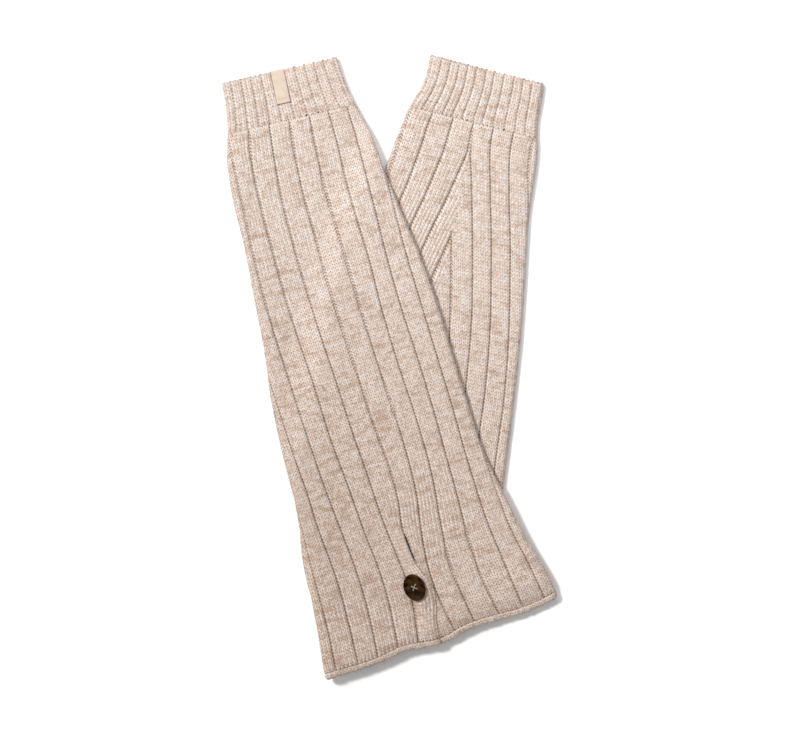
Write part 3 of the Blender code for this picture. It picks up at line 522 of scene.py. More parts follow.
def knit_material(name, seed, cream, hole_shade_share, groove_shade_share):
    made, bench, shader = principled(name)
    wale = read(bench, "wale")
    course = read(bench, "course")
    hollow = read(bench, "hollow")
    groove = read(bench, "groove")
    leg_number = bench.whole(wale * 2)
    row_number = bench.whole(course)
    stitch = bench.triple(leg_number, row_number, seed)
    chance = bench.node("ShaderNodeTexWhiteNoise", {"Vector": stitch}, noise_dimensions="3D")
    purl = read(bench, "purl")
    from_middle = abs(wale - bench.maths("ROUND", wale))
    straight = course + (0.25 - from_middle) * (V_COURSES * (1 - purl))
    dash_at = bench.triple(wale * DASH_CELLS[0], straight * DASH_CELLS[1], seed)
    dash = bench.node("ShaderNodeTexNoise", {"Vector": dash_at, "Scale": 1.0, "Detail": 1.5})
    drift_at = bench.triple(wale * DRIFT_CELLS[0], straight * DRIFT_CELLS[1], seed + 7.0)
    drift = bench.node("ShaderNodeTexNoise", {"Vector": drift_at, "Scale": 1.0, "Detail": 2.0})
    dashes = bench.smooth_step(dash, 0.45, 0.66) * (bench.smooth_step(drift, 0.36, 0.62) * 0.65 + 0.35)
    flecks = bench.smooth_step(chance, 0.45, 1.0)
    fine_at = bench.triple(bench.whole(wale * 4), bench.whole(course * 2), seed + 3.0)
    fine = bench.node("ShaderNodeTexWhiteNoise", {"Vector": fine_at}, noise_dimensions="3D")
    pepper = bench.smooth_step(fine, 0.3, 1.0)
    cool = bench.smooth_step(dash, 0.56, 0.36) * 0.8
    # Painted shade: the colour is painted darker and more tan towards the lower left, where the light
    # falls off.
    place = bench.node("ShaderNodeTexCoord", out="Object")
    painted_shade_centre = bench.triple(*PAINTED_SHADE_PLACE, 0.0)
    away = bench.node("ShaderNodeVectorMath", {0: place, 1: painted_shade_centre}, out="Value", operation="DISTANCE")
    painted_shade = (1 - bench.smooth_step(away, 0.0, PAINTED_SHADE_REACH)) * PAINTED_SHADE_SHARE
    marks = dashes * DASH_SHARE + flecks * FLECK_SHARE + pepper * PEPPER_SHARE
    tan_share = bench.maths("MINIMUM", marks + painted_shade, 1.0)
    yarn = blend_colours(bench, tan_share, blend_colours(bench, cool, cream, COOL_CREAM), TAN)
    # Painted shade in the gaps between stitches, on the purl rungs and in the lines between a stitch's
    # legs; the lower left's painted shade deepens it.
    side = abs(from_middle * 4 - 1)
    stagger = bench.smooth_step(from_middle, 0.2, 0.3) * HOLE_STAGGER
    end = abs(bench.maths("FRACT", course + stagger) * 2 - 1)
    gap = bench.smooth_step(side * side + end * end, HOLE_FROM, HOLE_TO) * (1 - purl)
    rung = bench.smooth_step(end, 0.4, 0.95) * purl
    line = bench.smooth_step(side, 0.72, 1.0) * (1 - purl) * LINE_SHARE
    holes = bench.maths("MINIMUM", gap + rung + line, 1.0) * (0.6 + fine * 0.4)
    dark = bench.maths("MINIMUM", holes * (hole_shade_share + painted_shade * PAINTED_SHADE_DEEPENS) + hollow * 0.1, 0.95)
    # Painted shade in a rib's groove, as beads along it.
    beat_at = bench.triple(wale * BEAT_CELLS[0], straight * BEAT_CELLS[1], seed + 5.0)
    beat = bench.node("ShaderNodeTexNoise", {"Vector": beat_at, "Scale": 1.0, "Detail": 2.0})
    between = 0.2 + bench.smooth_step(end, 0.15, 0.75) * 0.8
    beads = between * (0.45 + bench.smooth_step(beat, 0.35, 0.65) * 0.55)
    in_groove = bench.maths("MINIMUM", groove, 1.0) * beads * groove_shade_share
    # Painted shadow: where groove passes 1, beside the overlap's free edge and at the vent, the colour
    # goes near black.
    slit_shadow = bench.smooth_step(groove, 1.0, 1.6)
    deep = blend_colours(bench, in_groove, blend_colours(bench, dark, yarn, PAINTED_HOLE_SHADE), PAINTED_GROOVE_SHADE)
    bench.join(blend_colours(bench, slit_shadow, deep, PAINTED_SLIT_SHADOW), shader.inputs["Base Color"])
    bench.join(0.86 + chance * 0.1, shader.inputs["Roughness"])
    shader.inputs["Specular IOR Level"].default_value = 0.25
    shader.inputs["Sheen Weight"].default_value = 0.12
    shader.inputs["Sheen Roughness"].default_value = 0.6
    fibres = bench.node("ShaderNodeTexNoise", {"Vector": place, "Scale": 1900.0, "Detail": 3.0})
    ply_at = (course * 3.0 + wale * 5.0) * 2.0
    ply = bench.maths("SINE", ply_at * pi)
    relief = fibres * 0.7 + ply * 0.25
    bump = {"Height": relief, "Strength": 0.35, "Distance": 0.00025}
    bench.join(bench.node("ShaderNodeBump", bump), shader.inputs["Normal"])
    return made


LEG_KNIT = knit_material("leg_knit", 3.0, CREAM, 0.9, 0.9)
CUFF_KNIT = knit_material("cuff_knit", 11.0, CREAM, 0.8, 0.45)
HEM_KNIT = knit_material("hem_knit", 17.0, CREAM, 0.9, 0.9)
BAND_KNIT = knit_material("band_knit", 23.0, CREAM, 0.75, 0.6)
print("materials:", LEG_KNIT.name, CUFF_KNIT.name, HEM_KNIT.name, BAND_KNIT.name)

# %% [markdown]
# ## Stitches, by Geometry Nodes
#
# A knit stitch shows as a V: two plump legs that meet at the bottom. The rows of the mesh already
# run in that zigzag, two rows to a course and four columns to a wale, so a stitch needs only its
# height: this tree lifts each point along the normal, by where it lies in its stitch. A purl
# stitch shows as a bar across its wale instead. Every stitch comes out a little different, from a
# fixed seed.

# %% The tree that raises stitches


def new_tree(name, sizes):
    """A Geometry Nodes tree with a Geometry input and output, named sizes and a material."""
    tree = bpy.data.node_groups.new(name, "GeometryNodeTree")
    tree.interface.new_socket(name="Geometry", in_out="INPUT", socket_type="NodeSocketGeometry")
    for size in sizes:
        tree.interface.new_socket(name=size, in_out="INPUT", socket_type="NodeSocketFloat")
    tree.interface.new_socket(name="Material", in_out="INPUT", socket_type="NodeSocketMaterial")
    tree.interface.new_socket(name="Geometry", in_out="OUTPUT", socket_type="NodeSocketGeometry")
    bench = Bench(tree)
    entry = tree.nodes.new("NodeGroupInput")
    return tree, bench, {socket.name: Wire(bench, socket) for socket in entry.outputs if socket.name}


def end_tree(tree, bench, shape, material):
    """Realizes what the tree made, gives it its material and hands it out."""
    real = bench.node("GeometryNodeRealizeInstances", {"Geometry": shape})
    done = bench.node("GeometryNodeSetMaterial", {"Geometry": real, "Material": material})
    bench.join(done, tree.nodes.new("NodeGroupOutput").inputs["Geometry"])


def stitch_tree():
    sizes = ("Stitch height", "Stitch middle", "Course gap", "Unevenness", "Seed")
    tree, bench, given = new_tree("raise_stitches", sizes)

    def own(name):
        found = {"Name": name}
        return bench.node("GeometryNodeInputNamedAttribute", found, out="Attribute", data_type="FLOAT")

    wale = own("wale")
    course = own("course")
    purl = own("purl")
    press = own("press")
    from_middle = abs(wale - bench.maths("ROUND", wale))
    leg = 1 - abs(from_middle * 4 - 1)
    middle = bench.maths("MAXIMUM", 1 - from_middle * 4, 0.0) * given["Stitch middle"]
    knit = leg + middle
    shape = knit + (1 - knit) * purl
    crown = 1 - abs(bench.maths("FRACT", course) * 2 - 1)
    level = shape * (given["Course gap"] + (1 - given["Course gap"]) * crown)
    number = bench.whole(course) * 977 + bench.whole(wale * 2 + 0.25)
    chance_sockets = {2: 0.0, 3: 1.0, "ID": number, "Seed": given["Seed"]}
    chance = bench.node("FunctionNodeRandomValue", chance_sockets, out=1, data_type="FLOAT")
    uneven = 1 + (chance - 0.5) * given["Unevenness"]
    height = level * uneven * given["Stitch height"] * press
    out = bench.node("GeometryNodeInputNormal")
    offset = bench.node("ShaderNodeVectorMath", {"Vector": out, "Scale": height}, operation="SCALE")
    moved = bench.node("GeometryNodeSetPosition", {"Geometry": given["Geometry"], "Offset": offset})
    # hollow is kept for the material, which paints shade into the gaps between stitches
    kept = {"Geometry": moved, "Name": "hollow", "Value": 1 - level}
    stored = bench.node("GeometryNodeStoreNamedAttribute", kept, data_type="FLOAT", domain="POINT")
    end_tree(tree, bench, stored, given["Material"])
    return tree


RAISE_STITCHES = stitch_tree()
STITCH_HEIGHT = 0.55
STITCH_MIDDLE = 0.4
COURSE_GAP = 0.3
UNEVENNESS = 0.35
TABLE_CLEAR = 0.02  # no stitch comes nearer to the table than this


def grown(name, base, tree, sizes, material):
    """The base object with the tree run on it, as a plain mesh in a new object."""
    maker = base.modifiers.new(tree.name, "NODES")
    maker.node_group = tree
    given = dict(sizes, Material=material)
    for socket in tree.interface.items_tree:
        if socket.in_out == "INPUT" and socket.name in given:
            maker[socket.identifier] = given[socket.name]
    view = bpy.context.evaluated_depsgraph_get()
    mesh = bpy.data.meshes.new_from_object(base.evaluated_get(view), depsgraph=view)
    bpy.data.objects.remove(base)
    mesh.name = name
    places = np.empty(3 * len(mesh.vertices))
    mesh.vertices.foreach_get("co", places)
    places[2::3] = np.maximum(places[2::3], TABLE_CLEAR * MM)
    mesh.vertices.foreach_set("co", places)
    mesh.shade_smooth()
    piece = bpy.data.objects.new(name, mesh)
    bpy.context.scene.collection.objects.link(piece)
    return piece


def knitted(name, base, seed, material, relief=1.0):
    """The base with its stitches raised."""
    sizes = {
        "Stitch height": STITCH_HEIGHT * MM * relief,
        "Stitch middle": STITCH_MIDDLE,
        "Course gap": COURSE_GAP,
        "Unevenness": UNEVENNESS,
        "Seed": seed,
    }
    piece = grown(name, base, RAISE_STITCHES, sizes, material)
    print(name, "has", len(piece.data.polygons), "faces")
    return piece


print("tree:", RAISE_STITCHES.name, "with", len(RAISE_STITCHES.nodes), "nodes")

# %% [markdown]
# ## Rows of points round a flattened tube
#
# A tube of knitting is drawn row by row. Each row is a closed ring that starts in the middle of
# the underside, goes round the left fold, over the top and back. Its points sit on the wales, so
# when the tube widens, a row has more points than the one before, and the two are zipped together
# point by point. On top there are four columns to a wale, and below, where the cloth is pressed
# on the table, one is enough.

# %% Rings and zips
Ring = namedtuple("Ring", "keys along across height side up wale course purl press groove")
START_KEY = -1e9
END_KEY = 1e9
UNDERSIDE_PRESS = 0.25
UNDERSIDE_CLEAR = 0.42  # the underside's stitches stay this far over the table


def section(arc, half, thick=FLAT_HEIGHT, inset=0.0):
    """Where an arc distance from the top's middle lies on the section of a flattened tube: its
    (across, height) and the direction out of the cloth there."""
    round_in = SIDE_ROUND - inset
    edge = half - SIDE_ROUND
    fold = FOLD * round_in / SIDE_ROUND
    way = np.abs(arc)
    hand = np.sign(arc)
    turn = pi / 2 - pi * np.clip((way - edge) / fold, 0, 1)
    over = way <= edge
    under = way >= edge + fold
    across = np.where(over, way, np.where(under, 2 * edge + fold - way, edge + round_in * np.cos(turn)))
    middle = FLAT_HEIGHT / 2
    height = np.where(over, middle + thick / 2, middle + thick / 2 * np.sin(turn))
    height = np.where(under, middle - thick / 2, height)
    side = np.where(over | under, 0.0, np.cos(turn)) * hand
    up = np.where(over, 1.0, np.where(under, -1.0, np.sin(turn)))
    return across * hand, height, side, up


def zipped(first, first_at, second, second_at):
    """The faces between two rows of points, matched by how far along its row each point lies."""
    faces = []
    i = 0
    j = 0
    while i < len(first) - 1 or j < len(second) - 1:
        ahead_i = first_at[i + 1] if i < len(first) - 1 else inf
        ahead_j = second_at[j + 1] if j < len(second) - 1 else inf
        if ahead_i == ahead_j:
            faces.append((second[j], second[j + 1], first[i + 1], first[i]))
            i += 1
            j += 1
        elif ahead_i < ahead_j:
            faces.append((second[j], first[i + 1], first[i]))
            i += 1
        else:
            faces.append((second[j], second[j + 1], first[i]))
            j += 1
    return faces


def inner_ring(half, along, points):
    """A plain ring on the inner side of the wall."""
    edge = half - SIDE_ROUND
    whole_way = 2 * edge + FOLD * (SIDE_ROUND - WALL) / SIDE_ROUND
    arc = np.linspace(-whole_way, whole_way, points + 1)
    across, height, _, _ = section(arc, half, HOLLOW, WALL)
    nothing = np.zeros(points + 1)
    return Ring(nothing, nothing + along, across, height, *[nothing] * 7)


NUMBERS = ("wale", "course", "purl", "press", "groove")


def base_mesh(name, points, faces, numbers):
    """An object from points in millimetres, with the named numbers of its points."""
    mesh = bpy.data.meshes.new(name)
    mesh.from_pydata((points * MM).tolist(), [], faces)
    for label, values in numbers.items():
        held = mesh.attributes.new(label, "FLOAT", "POINT")
        held.data.foreach_set("value", np.asarray(values, np.float32))
    made = bpy.data.objects.new(name + "_base", mesh)
    bpy.context.scene.collection.objects.link(made)
    return made


def tube_base(name, lay, rings, inner_rings, swell=None, painted_shadow=None):
    """A closed wall: outer rings from the cuff side to the hem side, then inner ones back."""
    every = rings + inner_rings[::-1]
    outer_count = len(rings)
    columns = {field: [] for field in Ring._fields}
    numbers = []
    used = 0
    for ring in every:
        count = len(ring.along) - 1  # the last point of a ring is its first one
        numbers.append(list(range(used, used + count)) + [used])
        used += count
        for field in Ring._fields:
            columns[field].append(np.asarray(getattr(ring, field))[:count])
    flat = {field: np.concatenate(parts) for field, parts in columns.items()}
    x, y = lay.plan(flat["along"], flat["across"])
    height = flat["height"] + lay.lift(x, y)
    if swell is not None:
        height = height + swell(flat["along"], flat["across"]) * np.clip(flat["up"], 0, 1)
    # painted shadow beside the overlap's edge, kept in the groove attribute
    if painted_shadow is not None:
        spot = painted_shadow(flat["along"], flat["across"]) * (flat["up"] > 0)
        flat["groove"] = np.maximum(flat["groove"], spot)
    points = np.column_stack([x, y, height])
    faces = []
    for i in range(len(every)):
        j = (i + 1) % len(every)
        first, second = every[i], every[j]
        if i < outer_count - 1:
            at = (first.keys, second.keys)
        else:
            at = [way_round(points[numbers[n]]) for n in (i, j)]
        faces += zipped(numbers[i], list(at[0]), numbers[j], list(at[1]))
    return base_mesh(name, points, faces, {label: flat[label] for label in NUMBERS})


def way_round(ring):
    """Each point's share of the way round a ring whose last point is its first."""
    steps = np.hypot(*np.diff(ring, axis=0).T[:2])
    way = np.concatenate([[0.0], np.cumsum(steps)])
    return (way / way[-1]).round(9)


print("rings start under the middle and run over the left fold")

# %% [markdown]
# ## Ribs and grooves
#
# A purl wale sinks between the knit ones and makes the groove. Where the cloth is relaxed the ribs
# close over it and the groove is a thin dark line; where it is stretched the groove opens and the
# purl bars show like the rungs of a ladder. `openness` says which, from 0 to 1, with the stretches
# that the photograph shows.

# %% Shape across the ribs
PURL_CLOSED = 0.42  # half the purl wale's width as it shows
PURL_OPEN = 1.5
GROOVE_CLOSED = 0.62  # how far from its middle a groove's side has risen
GROOVE_OPEN = 1.3
GROOVE_DEEP = 0.9
GROOVE_SHALLOW = 0.55
CROWN_SHARE = 0.78  # of a rib's rise that it has beside its grooves
PLAIN_OPENNESS = 0.12
LINE_WIDTH = 0.62  # of the painted shade in a closed groove, as a share of its reach
LADDER_SIDE = 0.55  # an open one has painted shade on both sides of its purl wale
LADDER_WIDTH = 0.38
STITCH_SLANT = 0.85  # courses that a stitch's leg climbs
FOLD_SHARE = 0.45
FOLD_FADE = 7.0

Open = namedtuple("Open", "groove start end amount")


def openness(stretches, groove, along):
    """How open a groove lies at a distance along."""
    amount = PLAIN_OPENNESS
    for stretch in stretches:
        if stretch.groove == groove:
            fade = min(14.0, (stretch.end - stretch.start) / 3)
            inside = ease(along, stretch.start, stretch.start + fade)
            inside = inside * (1 - ease(along, stretch.end - fade, stretch.end))
            amount += (stretch.amount - PLAIN_OPENNESS) * inside
    return float(amount)


def wales_between(grooves, low, high, half, rib_wales, wale_width, rise, key, closed_deep=GROOVE_DEEP):
    """The columns of one run of wales between two arc distances. grooves maps each groove's number
    to its (arc distance, openness)."""
    numbers = np.array(sorted(grooves))
    places = np.array([grooves[n][0] for n in numbers])
    opens = np.array([grooves[n][1] for n in numbers])
    purl_half = PURL_CLOSED + (PURL_OPEN - PURL_CLOSED) * opens
    purl_half = np.minimum(purl_half, wale_width / 2)
    known = np.column_stack([rib_wales * numbers - 0.5, rib_wales * numbers + 0.5]).ravel()
    arcs = np.column_stack([places - purl_half, places + purl_half]).ravel()
    quarter = np.arange(round(4 * known[0]), round(4 * known[-1]) + 1)
    wale = quarter / 4
    arc = np.interp(wale, known, arcs)
    seen = np.abs(arc) < half - SIDE_ROUND + FOLD
    kept = (arc > low + 0.15) & (arc < high - 0.15) & (seen | (quarter % 4 == 0))
    wale, arc, quarter, seen = wale[kept], arc[kept], quarter[kept], seen[kept]
    nearest = np.clip(np.round(wale / rib_wales).astype(int) - numbers[0], 0, len(numbers) - 1)
    away = np.abs(arc - places[nearest])
    near_open = opens[nearest]
    reach = GROOVE_CLOSED + (GROOVE_OPEN - GROOVE_CLOSED) * near_open
    deep = closed_deep + (GROOVE_SHALLOW - closed_deep) * near_open
    shoulder = 1 - np.exp(-((away / reach) ** 2))
    crown = CROWN_SHARE + (1 - CROWN_SHARE) * np.sin(pi * (wale / rib_wales % 1))
    raised = (rise + deep) * shoulder * crown - deep
    purl = np.clip(2.2 - 3.6 * np.abs(wale - rib_wales * np.round(wale / rib_wales)), 0, 1)
    # dark is painted shade in the groove, kept in the groove attribute
    line = np.exp(-((away / (LINE_WIDTH * reach)) ** 2))
    ladder = np.exp(-(((away / reach - LADDER_SIDE) / LADDER_WIDTH) ** 2))
    dark = line + (ladder - line) * near_open
    return wale, arc, key + quarter, seen, raised, purl, dark


def outer_ring(runs, meetings, half, along, course, end_fade):
    """A ring from runs of wales. meetings holds the arc distance of the point between each two."""
    edge = half - SIDE_ROUND
    whole_way = 2 * edge + FOLD
    stops = [-whole_way] + list(meetings) + [whole_way]
    keys, arcs, wales, raised, purl, dark = [], [], [], [], [], []
    for number, stop in enumerate(stops):
        beside = runs[min(number, len(runs) - 1)]
        inner = 0 if number < len(runs) else -1
        is_end = number in (0, len(stops) - 1)
        keys.append([START_KEY if number == 0 else END_KEY if is_end else 1e6 * number - 5e5])
        arcs.append([stop])
        wales.append([beside[0][inner]])
        raised.append([beside[4][inner]])
        purl.append([beside[5][inner]])
        dark.append([beside[6][inner]])
        if number < len(runs):
            wale, arc, key, _, up, bars, deep = runs[number]
            found = (key, arc, wale, up, bars, deep)
            for held, values in zip((keys, arcs, wales, raised, purl, dark), found):
                held.append(values)
    keys, arcs, wales, raised, purl, dark = (
        np.concatenate(part).astype(float) for part in (keys, arcs, wales, raised, purl, dark)
    )
    across, height, side, up = section(arcs, half)
    under = np.abs(arcs) > edge + FOLD * 0.75
    on_face = ease(edge - np.abs(arcs), -1.0, FOLD_FADE - 1.0)
    lifted = raised * (FOLD_SHARE + (1 - FOLD_SHARE) * on_face) * end_fade
    lifted = np.where(under, UNDERSIDE_CLEAR * -1.0 - 0.3 * np.clip(-raised, 0, 1), lifted)
    press = np.where(under, UNDERSIDE_PRESS, 1.0)
    from_middle = np.abs(wales - np.round(wales))
    slant = STITCH_SLANT * COURSE * (0.25 - from_middle) * 2 * (1 - purl) * ~under
    slant = slant - STITCH_SLANT * COURSE * 0.5 * purl * ~under
    return Ring(
        keys, along + slant, across + side * lifted, height + up * lifted,
        side, up, wales, np.full(len(arcs), course), purl, press, dark,
    )


def spread_grooves(places, opens, pitch, reach):
    """The grooves of a run, with more at the same pitch on both sides until they pass the reach."""
    grooves = {n: (places[n], opens.get(n, PLAIN_OPENNESS)) for n in places}
    low, high = min(places), max(places)
    while grooves[low][0] > -reach - pitch:
        grooves[low - 1] = (grooves[low][0] - pitch, PLAIN_OPENNESS)
        low -= 1
    while grooves[high][0] < reach + pitch:
        grooves[high + 1] = (grooves[high][0] + pitch, PLAIN_OPENNESS)
        high += 1
    return grooves


print("a rib has", RIB_WALES - 1, "knit wales and one purl wale")

# %% [markdown]
# ## The leg on top
#
# It shows its front. The grooves bend as the cloth lies, and draw together above the button. The
# stretches where a groove lies open are set down from the photograph.

# %% Leg on top
FRONT_OPEN = [
    Open(-3, 36, 175, 0.55), Open(-3, 175, 260, 0.3), Open(-2, 36, 62, 0.8), Open(-2, 62, 185, 0.5),
    Open(-1, 70, 180, 0.45), Open(0, 36, 72, 0.75), Open(0, 90, 150, 0.5), Open(0, 140, 235, 1.0),
    Open(0, 235, 320, 0.5), Open(1, 40, 75, 0.5), Open(1, 75, 205, 0.95), Open(1, 235, 275, 0.9),
    Open(2, 70, 150, 0.35), Open(2, 362, 402, 1.0), Open(3, 352, 385, 0.8), Open(3, 385, 425, 0.5),
    Open(5, 36, 120, 0.4), Open(-1, 385, 425, 0.35), Open(1, 398, 425, 0.5), Open(4, 380, 425, 0.3),
]
INNER_POINTS = 48
INNER_STEP = 16.0
END_FADE = 4.0  # the ribs rise over this length from a tube's end
END_SHARE = 0.55


def front_grooves(along, half):
    """Arc distances of the top one's grooves and how open each lies."""
    drift = smooth(FRONT, "drift", along)
    places, opens = {}, {}
    for column, groove in enumerate(Front._fields[2:], 2):
        n = column - VENT_NUMBER
        places[n] = float(smooth(FRONT, groove, along) - drift)
        opens[n] = openness(FRONT_OPEN, n, along)
    return spread_grooves(places, opens, RIB_PITCH, 2 * half)


def end_share(along, start, end):
    """How much of their rise the ribs have, a little less at a tube's two ends."""
    risen = ease(along - start, 0, END_FADE) * ease(end - along, 0, END_FADE)
    return END_SHARE + (1 - END_SHARE) * risen


def front_ring(along, course, start, end):
    half = float(TOP.half(along))
    whole_way = 2 * (half - SIDE_ROUND) + FOLD
    grooves = front_grooves(along, half)
    run = wales_between(grooves, -whole_way, whole_way, half, RIB_WALES, WALE, RIB_RISE, 0)
    return outer_ring([run], [], half, along, course, end_share(along, start, end))


def rings_of(ring_at, start, end, fine_to=inf, coarse_courses=3):
    """Rings twice to a course, and further apart where the leg is out of sight."""
    courses = round((end - start) / COURSE)
    step = (end - start) / courses
    halves = [h for h in range(2 * courses + 1) if start + h * step / 2 <= fine_to]
    halves += range(halves[-1] + 2 * coarse_courses, 2 * courses, 2 * coarse_courses)
    if halves[-1] != 2 * courses:
        halves.append(2 * courses)
    return [ring_at(start + h * step / 2, h / 2, start, end) for h in halves]


def inner_rings_of(lay, start, end):
    steps = round((end - start) / INNER_STEP)
    return [inner_ring(float(lay.half(a)), a, INNER_POINTS) for a in np.linspace(start, end, steps + 1)]


OVER_START = OVER_CUFF_LENGTH + SEAM
OVER_END = LENGTH - ROLL_LENGTH
OVER_SEED = 5
BUTTON_ALONG = 386.4
BUTTON_ACROSS = -8.0
PUFF_HEIGHT = 2.0
PUFF_RADIUS = 11.0
PUFF_WIDTH = 4.5
PUFF_OVAL = 0.85
BAND_FADE = 34.0  # the length over which the overlap rises from the top of the vent
BAND_DIP = 1.6  # how far the leg gives way below it
SLIT_SHARE = 1.8  # of the painted shadow beside its free edge, where that stands off and below
# of the painted shadow along the free edge further down
CREASE_SHARE = 0.6
SLIT_MIDDLE = 0.5
SLIT_WIDTH = 1.1


def puff(along, across):
    """How far the cloth stands up round the button's right side, where the shank draws it in."""
    right = across + TOP.drift_at(along) - BUTTON_ACROSS
    away = np.maximum(np.hypot(right / PUFF_OVAL, along - BUTTON_ALONG), 0.1)
    ridge = np.exp(-(((away - PUFF_RADIUS) / PUFF_WIDTH) ** 2))
    return PUFF_HEIGHT * ridge * ease(right / away, -0.5, 0.5)


def band_share(along, across):
    """Where a point lies between the overlap's groove, 0, and its free edge, 1."""
    left = smooth(BAND, "left", along) - TOP.drift_at(along)
    free = smooth(BAND, "free", along) - TOP.drift_at(along)
    return (across - left) / (free - left)


def front_swell(along, across):
    share = band_share(along, across)
    covered = ease(share, 0.05, 0.25) * (1 - ease(share, 0.85, 1.0))
    covered = covered * ease(along, BAND[0].at + 2, BAND[0].at + 16)
    return puff(along, across) - BAND_DIP * covered


def front_painted_shadow(along, across):
    """Shadow on the leg beside the overlap's free edge, deepest where the edge stands off."""
    width = smooth(BAND, "free", along) - smooth(BAND, "left", along)
    past = (band_share(along, across) - 1) * width
    gape = ease(along, 342, 352) * (1 - ease(along, 366, 376)) * SLIT_SHARE
    crease = ease(along, 376, 392) * CREASE_SHARE
    return (gape + crease) * np.exp(-(((past - SLIT_MIDDLE) / SLIT_WIDTH) ** 2))


front_rings = rings_of(front_ring, OVER_START, OVER_END)
inner_rings = inner_rings_of(TOP, OVER_START, OVER_END)
base = tube_base("over_leg_knit", TOP, front_rings, inner_rings, front_swell, front_painted_shadow)
over_leg = knitted("over_leg_knit", base, OVER_SEED, LEG_KNIT)

# %% [markdown]
# ## The leg beneath
#
# It shows its back. The tube is widened there: new wales start on both sides of a line down the
# middle, so the ribs of the left half run along the left edge, those of the right half along the
# right edge, and they meet on that line at an angle.

# %% Leg beneath
LEFT_OPEN = [
    Open(-3, 36, 110, 0.8), Open(-2, 40, 140, 0.4), Open(-1, 40, 160, 0.35), Open(0, 36, 62, 0.9),
    Open(0, 62, 150, 0.35), Open(1, 110, 180, 0.7), Open(2, 180, 240, 0.5),
]
RIGHT_OPEN = [
    Open(0, 36, 66, 0.7), Open(0, 66, 110, 0.25), Open(3, 36, 80, 0.8), Open(-1, 130, 190, 0.6),
]
UNDER_SEED = 9
UNDER_RELIEF = 0.8
UNDER_FINE_TO = 312.0  # past this the leg is hidden
HALF_KEYS = 1_000_000


def back_ring(along, course, start, end):
    half = float(LOWER.half(along))
    whole_way = 2 * (half - SIDE_ROUND) + FOLD
    drift = smooth(BACK, "drift", along)
    meeting = float(smooth(MEETINGS, "place", along) - drift)
    left, right = {}, {}
    for n in range(-4, 5):
        left_step = smooth(BACK, "left_pitch", along) if n < 0 else RIB_PITCH
        right_step = smooth(BACK, "right_pitch", along) if n > 0 else RIB_PITCH
        left[n] = float(smooth(BACK, "left", along) - drift + n * left_step)
        right[n] = float(smooth(BACK, "right", along) - drift + n * right_step)
    runs = []
    for places, opened, low, high in (
        (left, LEFT_OPEN, -whole_way, meeting),
        (right, RIGHT_OPEN, meeting, whole_way),
    ):
        opens = {n: openness(opened, n, along) for n in places}
        grooves = spread_grooves(places, opens, RIB_PITCH, 2 * half)
        key = HALF_KEYS * len(runs)
        runs.append(wales_between(grooves, low, high, half, RIB_WALES, WALE, RIB_RISE, key))
    return outer_ring(runs, [meeting], half, along, course, end_share(along, start, end))


UNDER_START = UNDER_CUFF_LENGTH + SEAM
UNDER_END = LOWER.length - ROLL_LENGTH
back_rings = rings_of(back_ring, UNDER_START, UNDER_END, UNDER_FINE_TO)
base = tube_base("under_leg_knit", LOWER, back_rings, inner_rings_of(LOWER, UNDER_START, UNDER_END))
under_leg = knitted("under_leg_knit", base, UNDER_SEED, LEG_KNIT, UNDER_RELIEF)

# %% [markdown]
# ## Cuffs
#
# The cuff is knitted two and one: two knit wales, one purl wale. It holds itself in, so its ribs
# are slim and its grooves stay narrow and shallow.

# %% Cuffs
CUFF_RISE = 0.6
CUFF_DEEP = 0.45
CUFF_OPEN = 0.1
CUFF_HALF = 43.0  # half the width that the places below are stated for
# Each groove's place across from the middle. They were read on the photo, 9 to 28 mm below the
# cuff's edge, then moved by under 2 mm and scaled by 2 % at most, to suit this lay. The top one's
# groove at 2.2 is behind the label, so it was read just below it, where it is faint.
CUFF_FIRST = -5  # the number of the first one
CUFF_GROOVES = {
    "over": (-37.1, -29.4, -21.9, -14.2, -6.5, 2.2, 11.0, 18.4, 25.5, 32.6, 40.0),
    "under": (-34.5, -27.7, -20.9, -14.4, -7.8, -0.3, 5.8, 13.2, 20.9, 27.9, 34.8),
}
CUFF_SEEDS = {"over": 21, "under": 27}


def cuff_ring(lay, measured):
    def ring(along, course, start, end):
        half = float(lay.half(np.array(along)))
        pitch = (measured[-1] - measured[0]) / (len(measured) - 1) * half / CUFF_HALF
        whole_way = 2 * (half - SIDE_ROUND) + FOLD
        places = {n: place * half / CUFF_HALF for n, place in enumerate(measured, CUFF_FIRST)}
        grooves = spread_grooves(places, {n: CUFF_OPEN for n in places}, pitch, 2 * half)
        width = pitch / CUFF_RIB_WALES
        rib = (CUFF_RIB_WALES, width, CUFF_RISE, 0, CUFF_DEEP)
        run = wales_between(grooves, -whole_way, whole_way, half, *rib)
        return outer_ring([run], [], half, along, course, end_share(along, start, end))

    return ring


cuffs = {}
for prefix, lay in (("over", TOP), ("under", LOWER)):
    name = prefix + "_cuff_knit"
    rings = rings_of(cuff_ring(lay, CUFF_GROOVES[prefix]), 0.0, lay.cuff_length)
    base = tube_base(name, lay, rings, inner_rings_of(lay, 0.0, lay.cuff_length))
    cuffs[prefix] = knitted(name, base, CUFF_SEEDS[prefix], CUFF_KNIT)

# %% [markdown]
# ## The vent's overlap
#
# The leg is open for its last few centimetres, and the rib on the left of the opening lies over
# the right side and is held by the button. It is the leg's own knitting, so its rows carry on from
# the leg's rows. It is built as a slab: a fine upper grid, a side wall, and a plain lower grid.

# %% Overlap
BAND_RISE = 2.1
BAND_SHOULDER = 0.35
BAND_EDGE_START = 0.8
BAND_EDGE_FALL = 1.2
BAND_COLUMNS = 28
BAND_SINK = 0.35  # it starts this far inside the leg's face
BAND_FOOT = 0.5  # its underside lies this far below the leg's face
BAND_SEED = 31
BAND_RELIEF = 0.75
WALL_STEPS = ((0.25, 0.25), (0.4, 0.6), (0.3, 1.0))  # out, and share of the way down


def faced_out(made):
    """Turns the faces of an object's closed mesh outwards."""
    held = bmesh.new()
    held.from_mesh(made.data)
    bmesh.ops.recalc_face_normals(held, faces=held.faces)
    held.to_mesh(made.data)
    held.free()
    return made


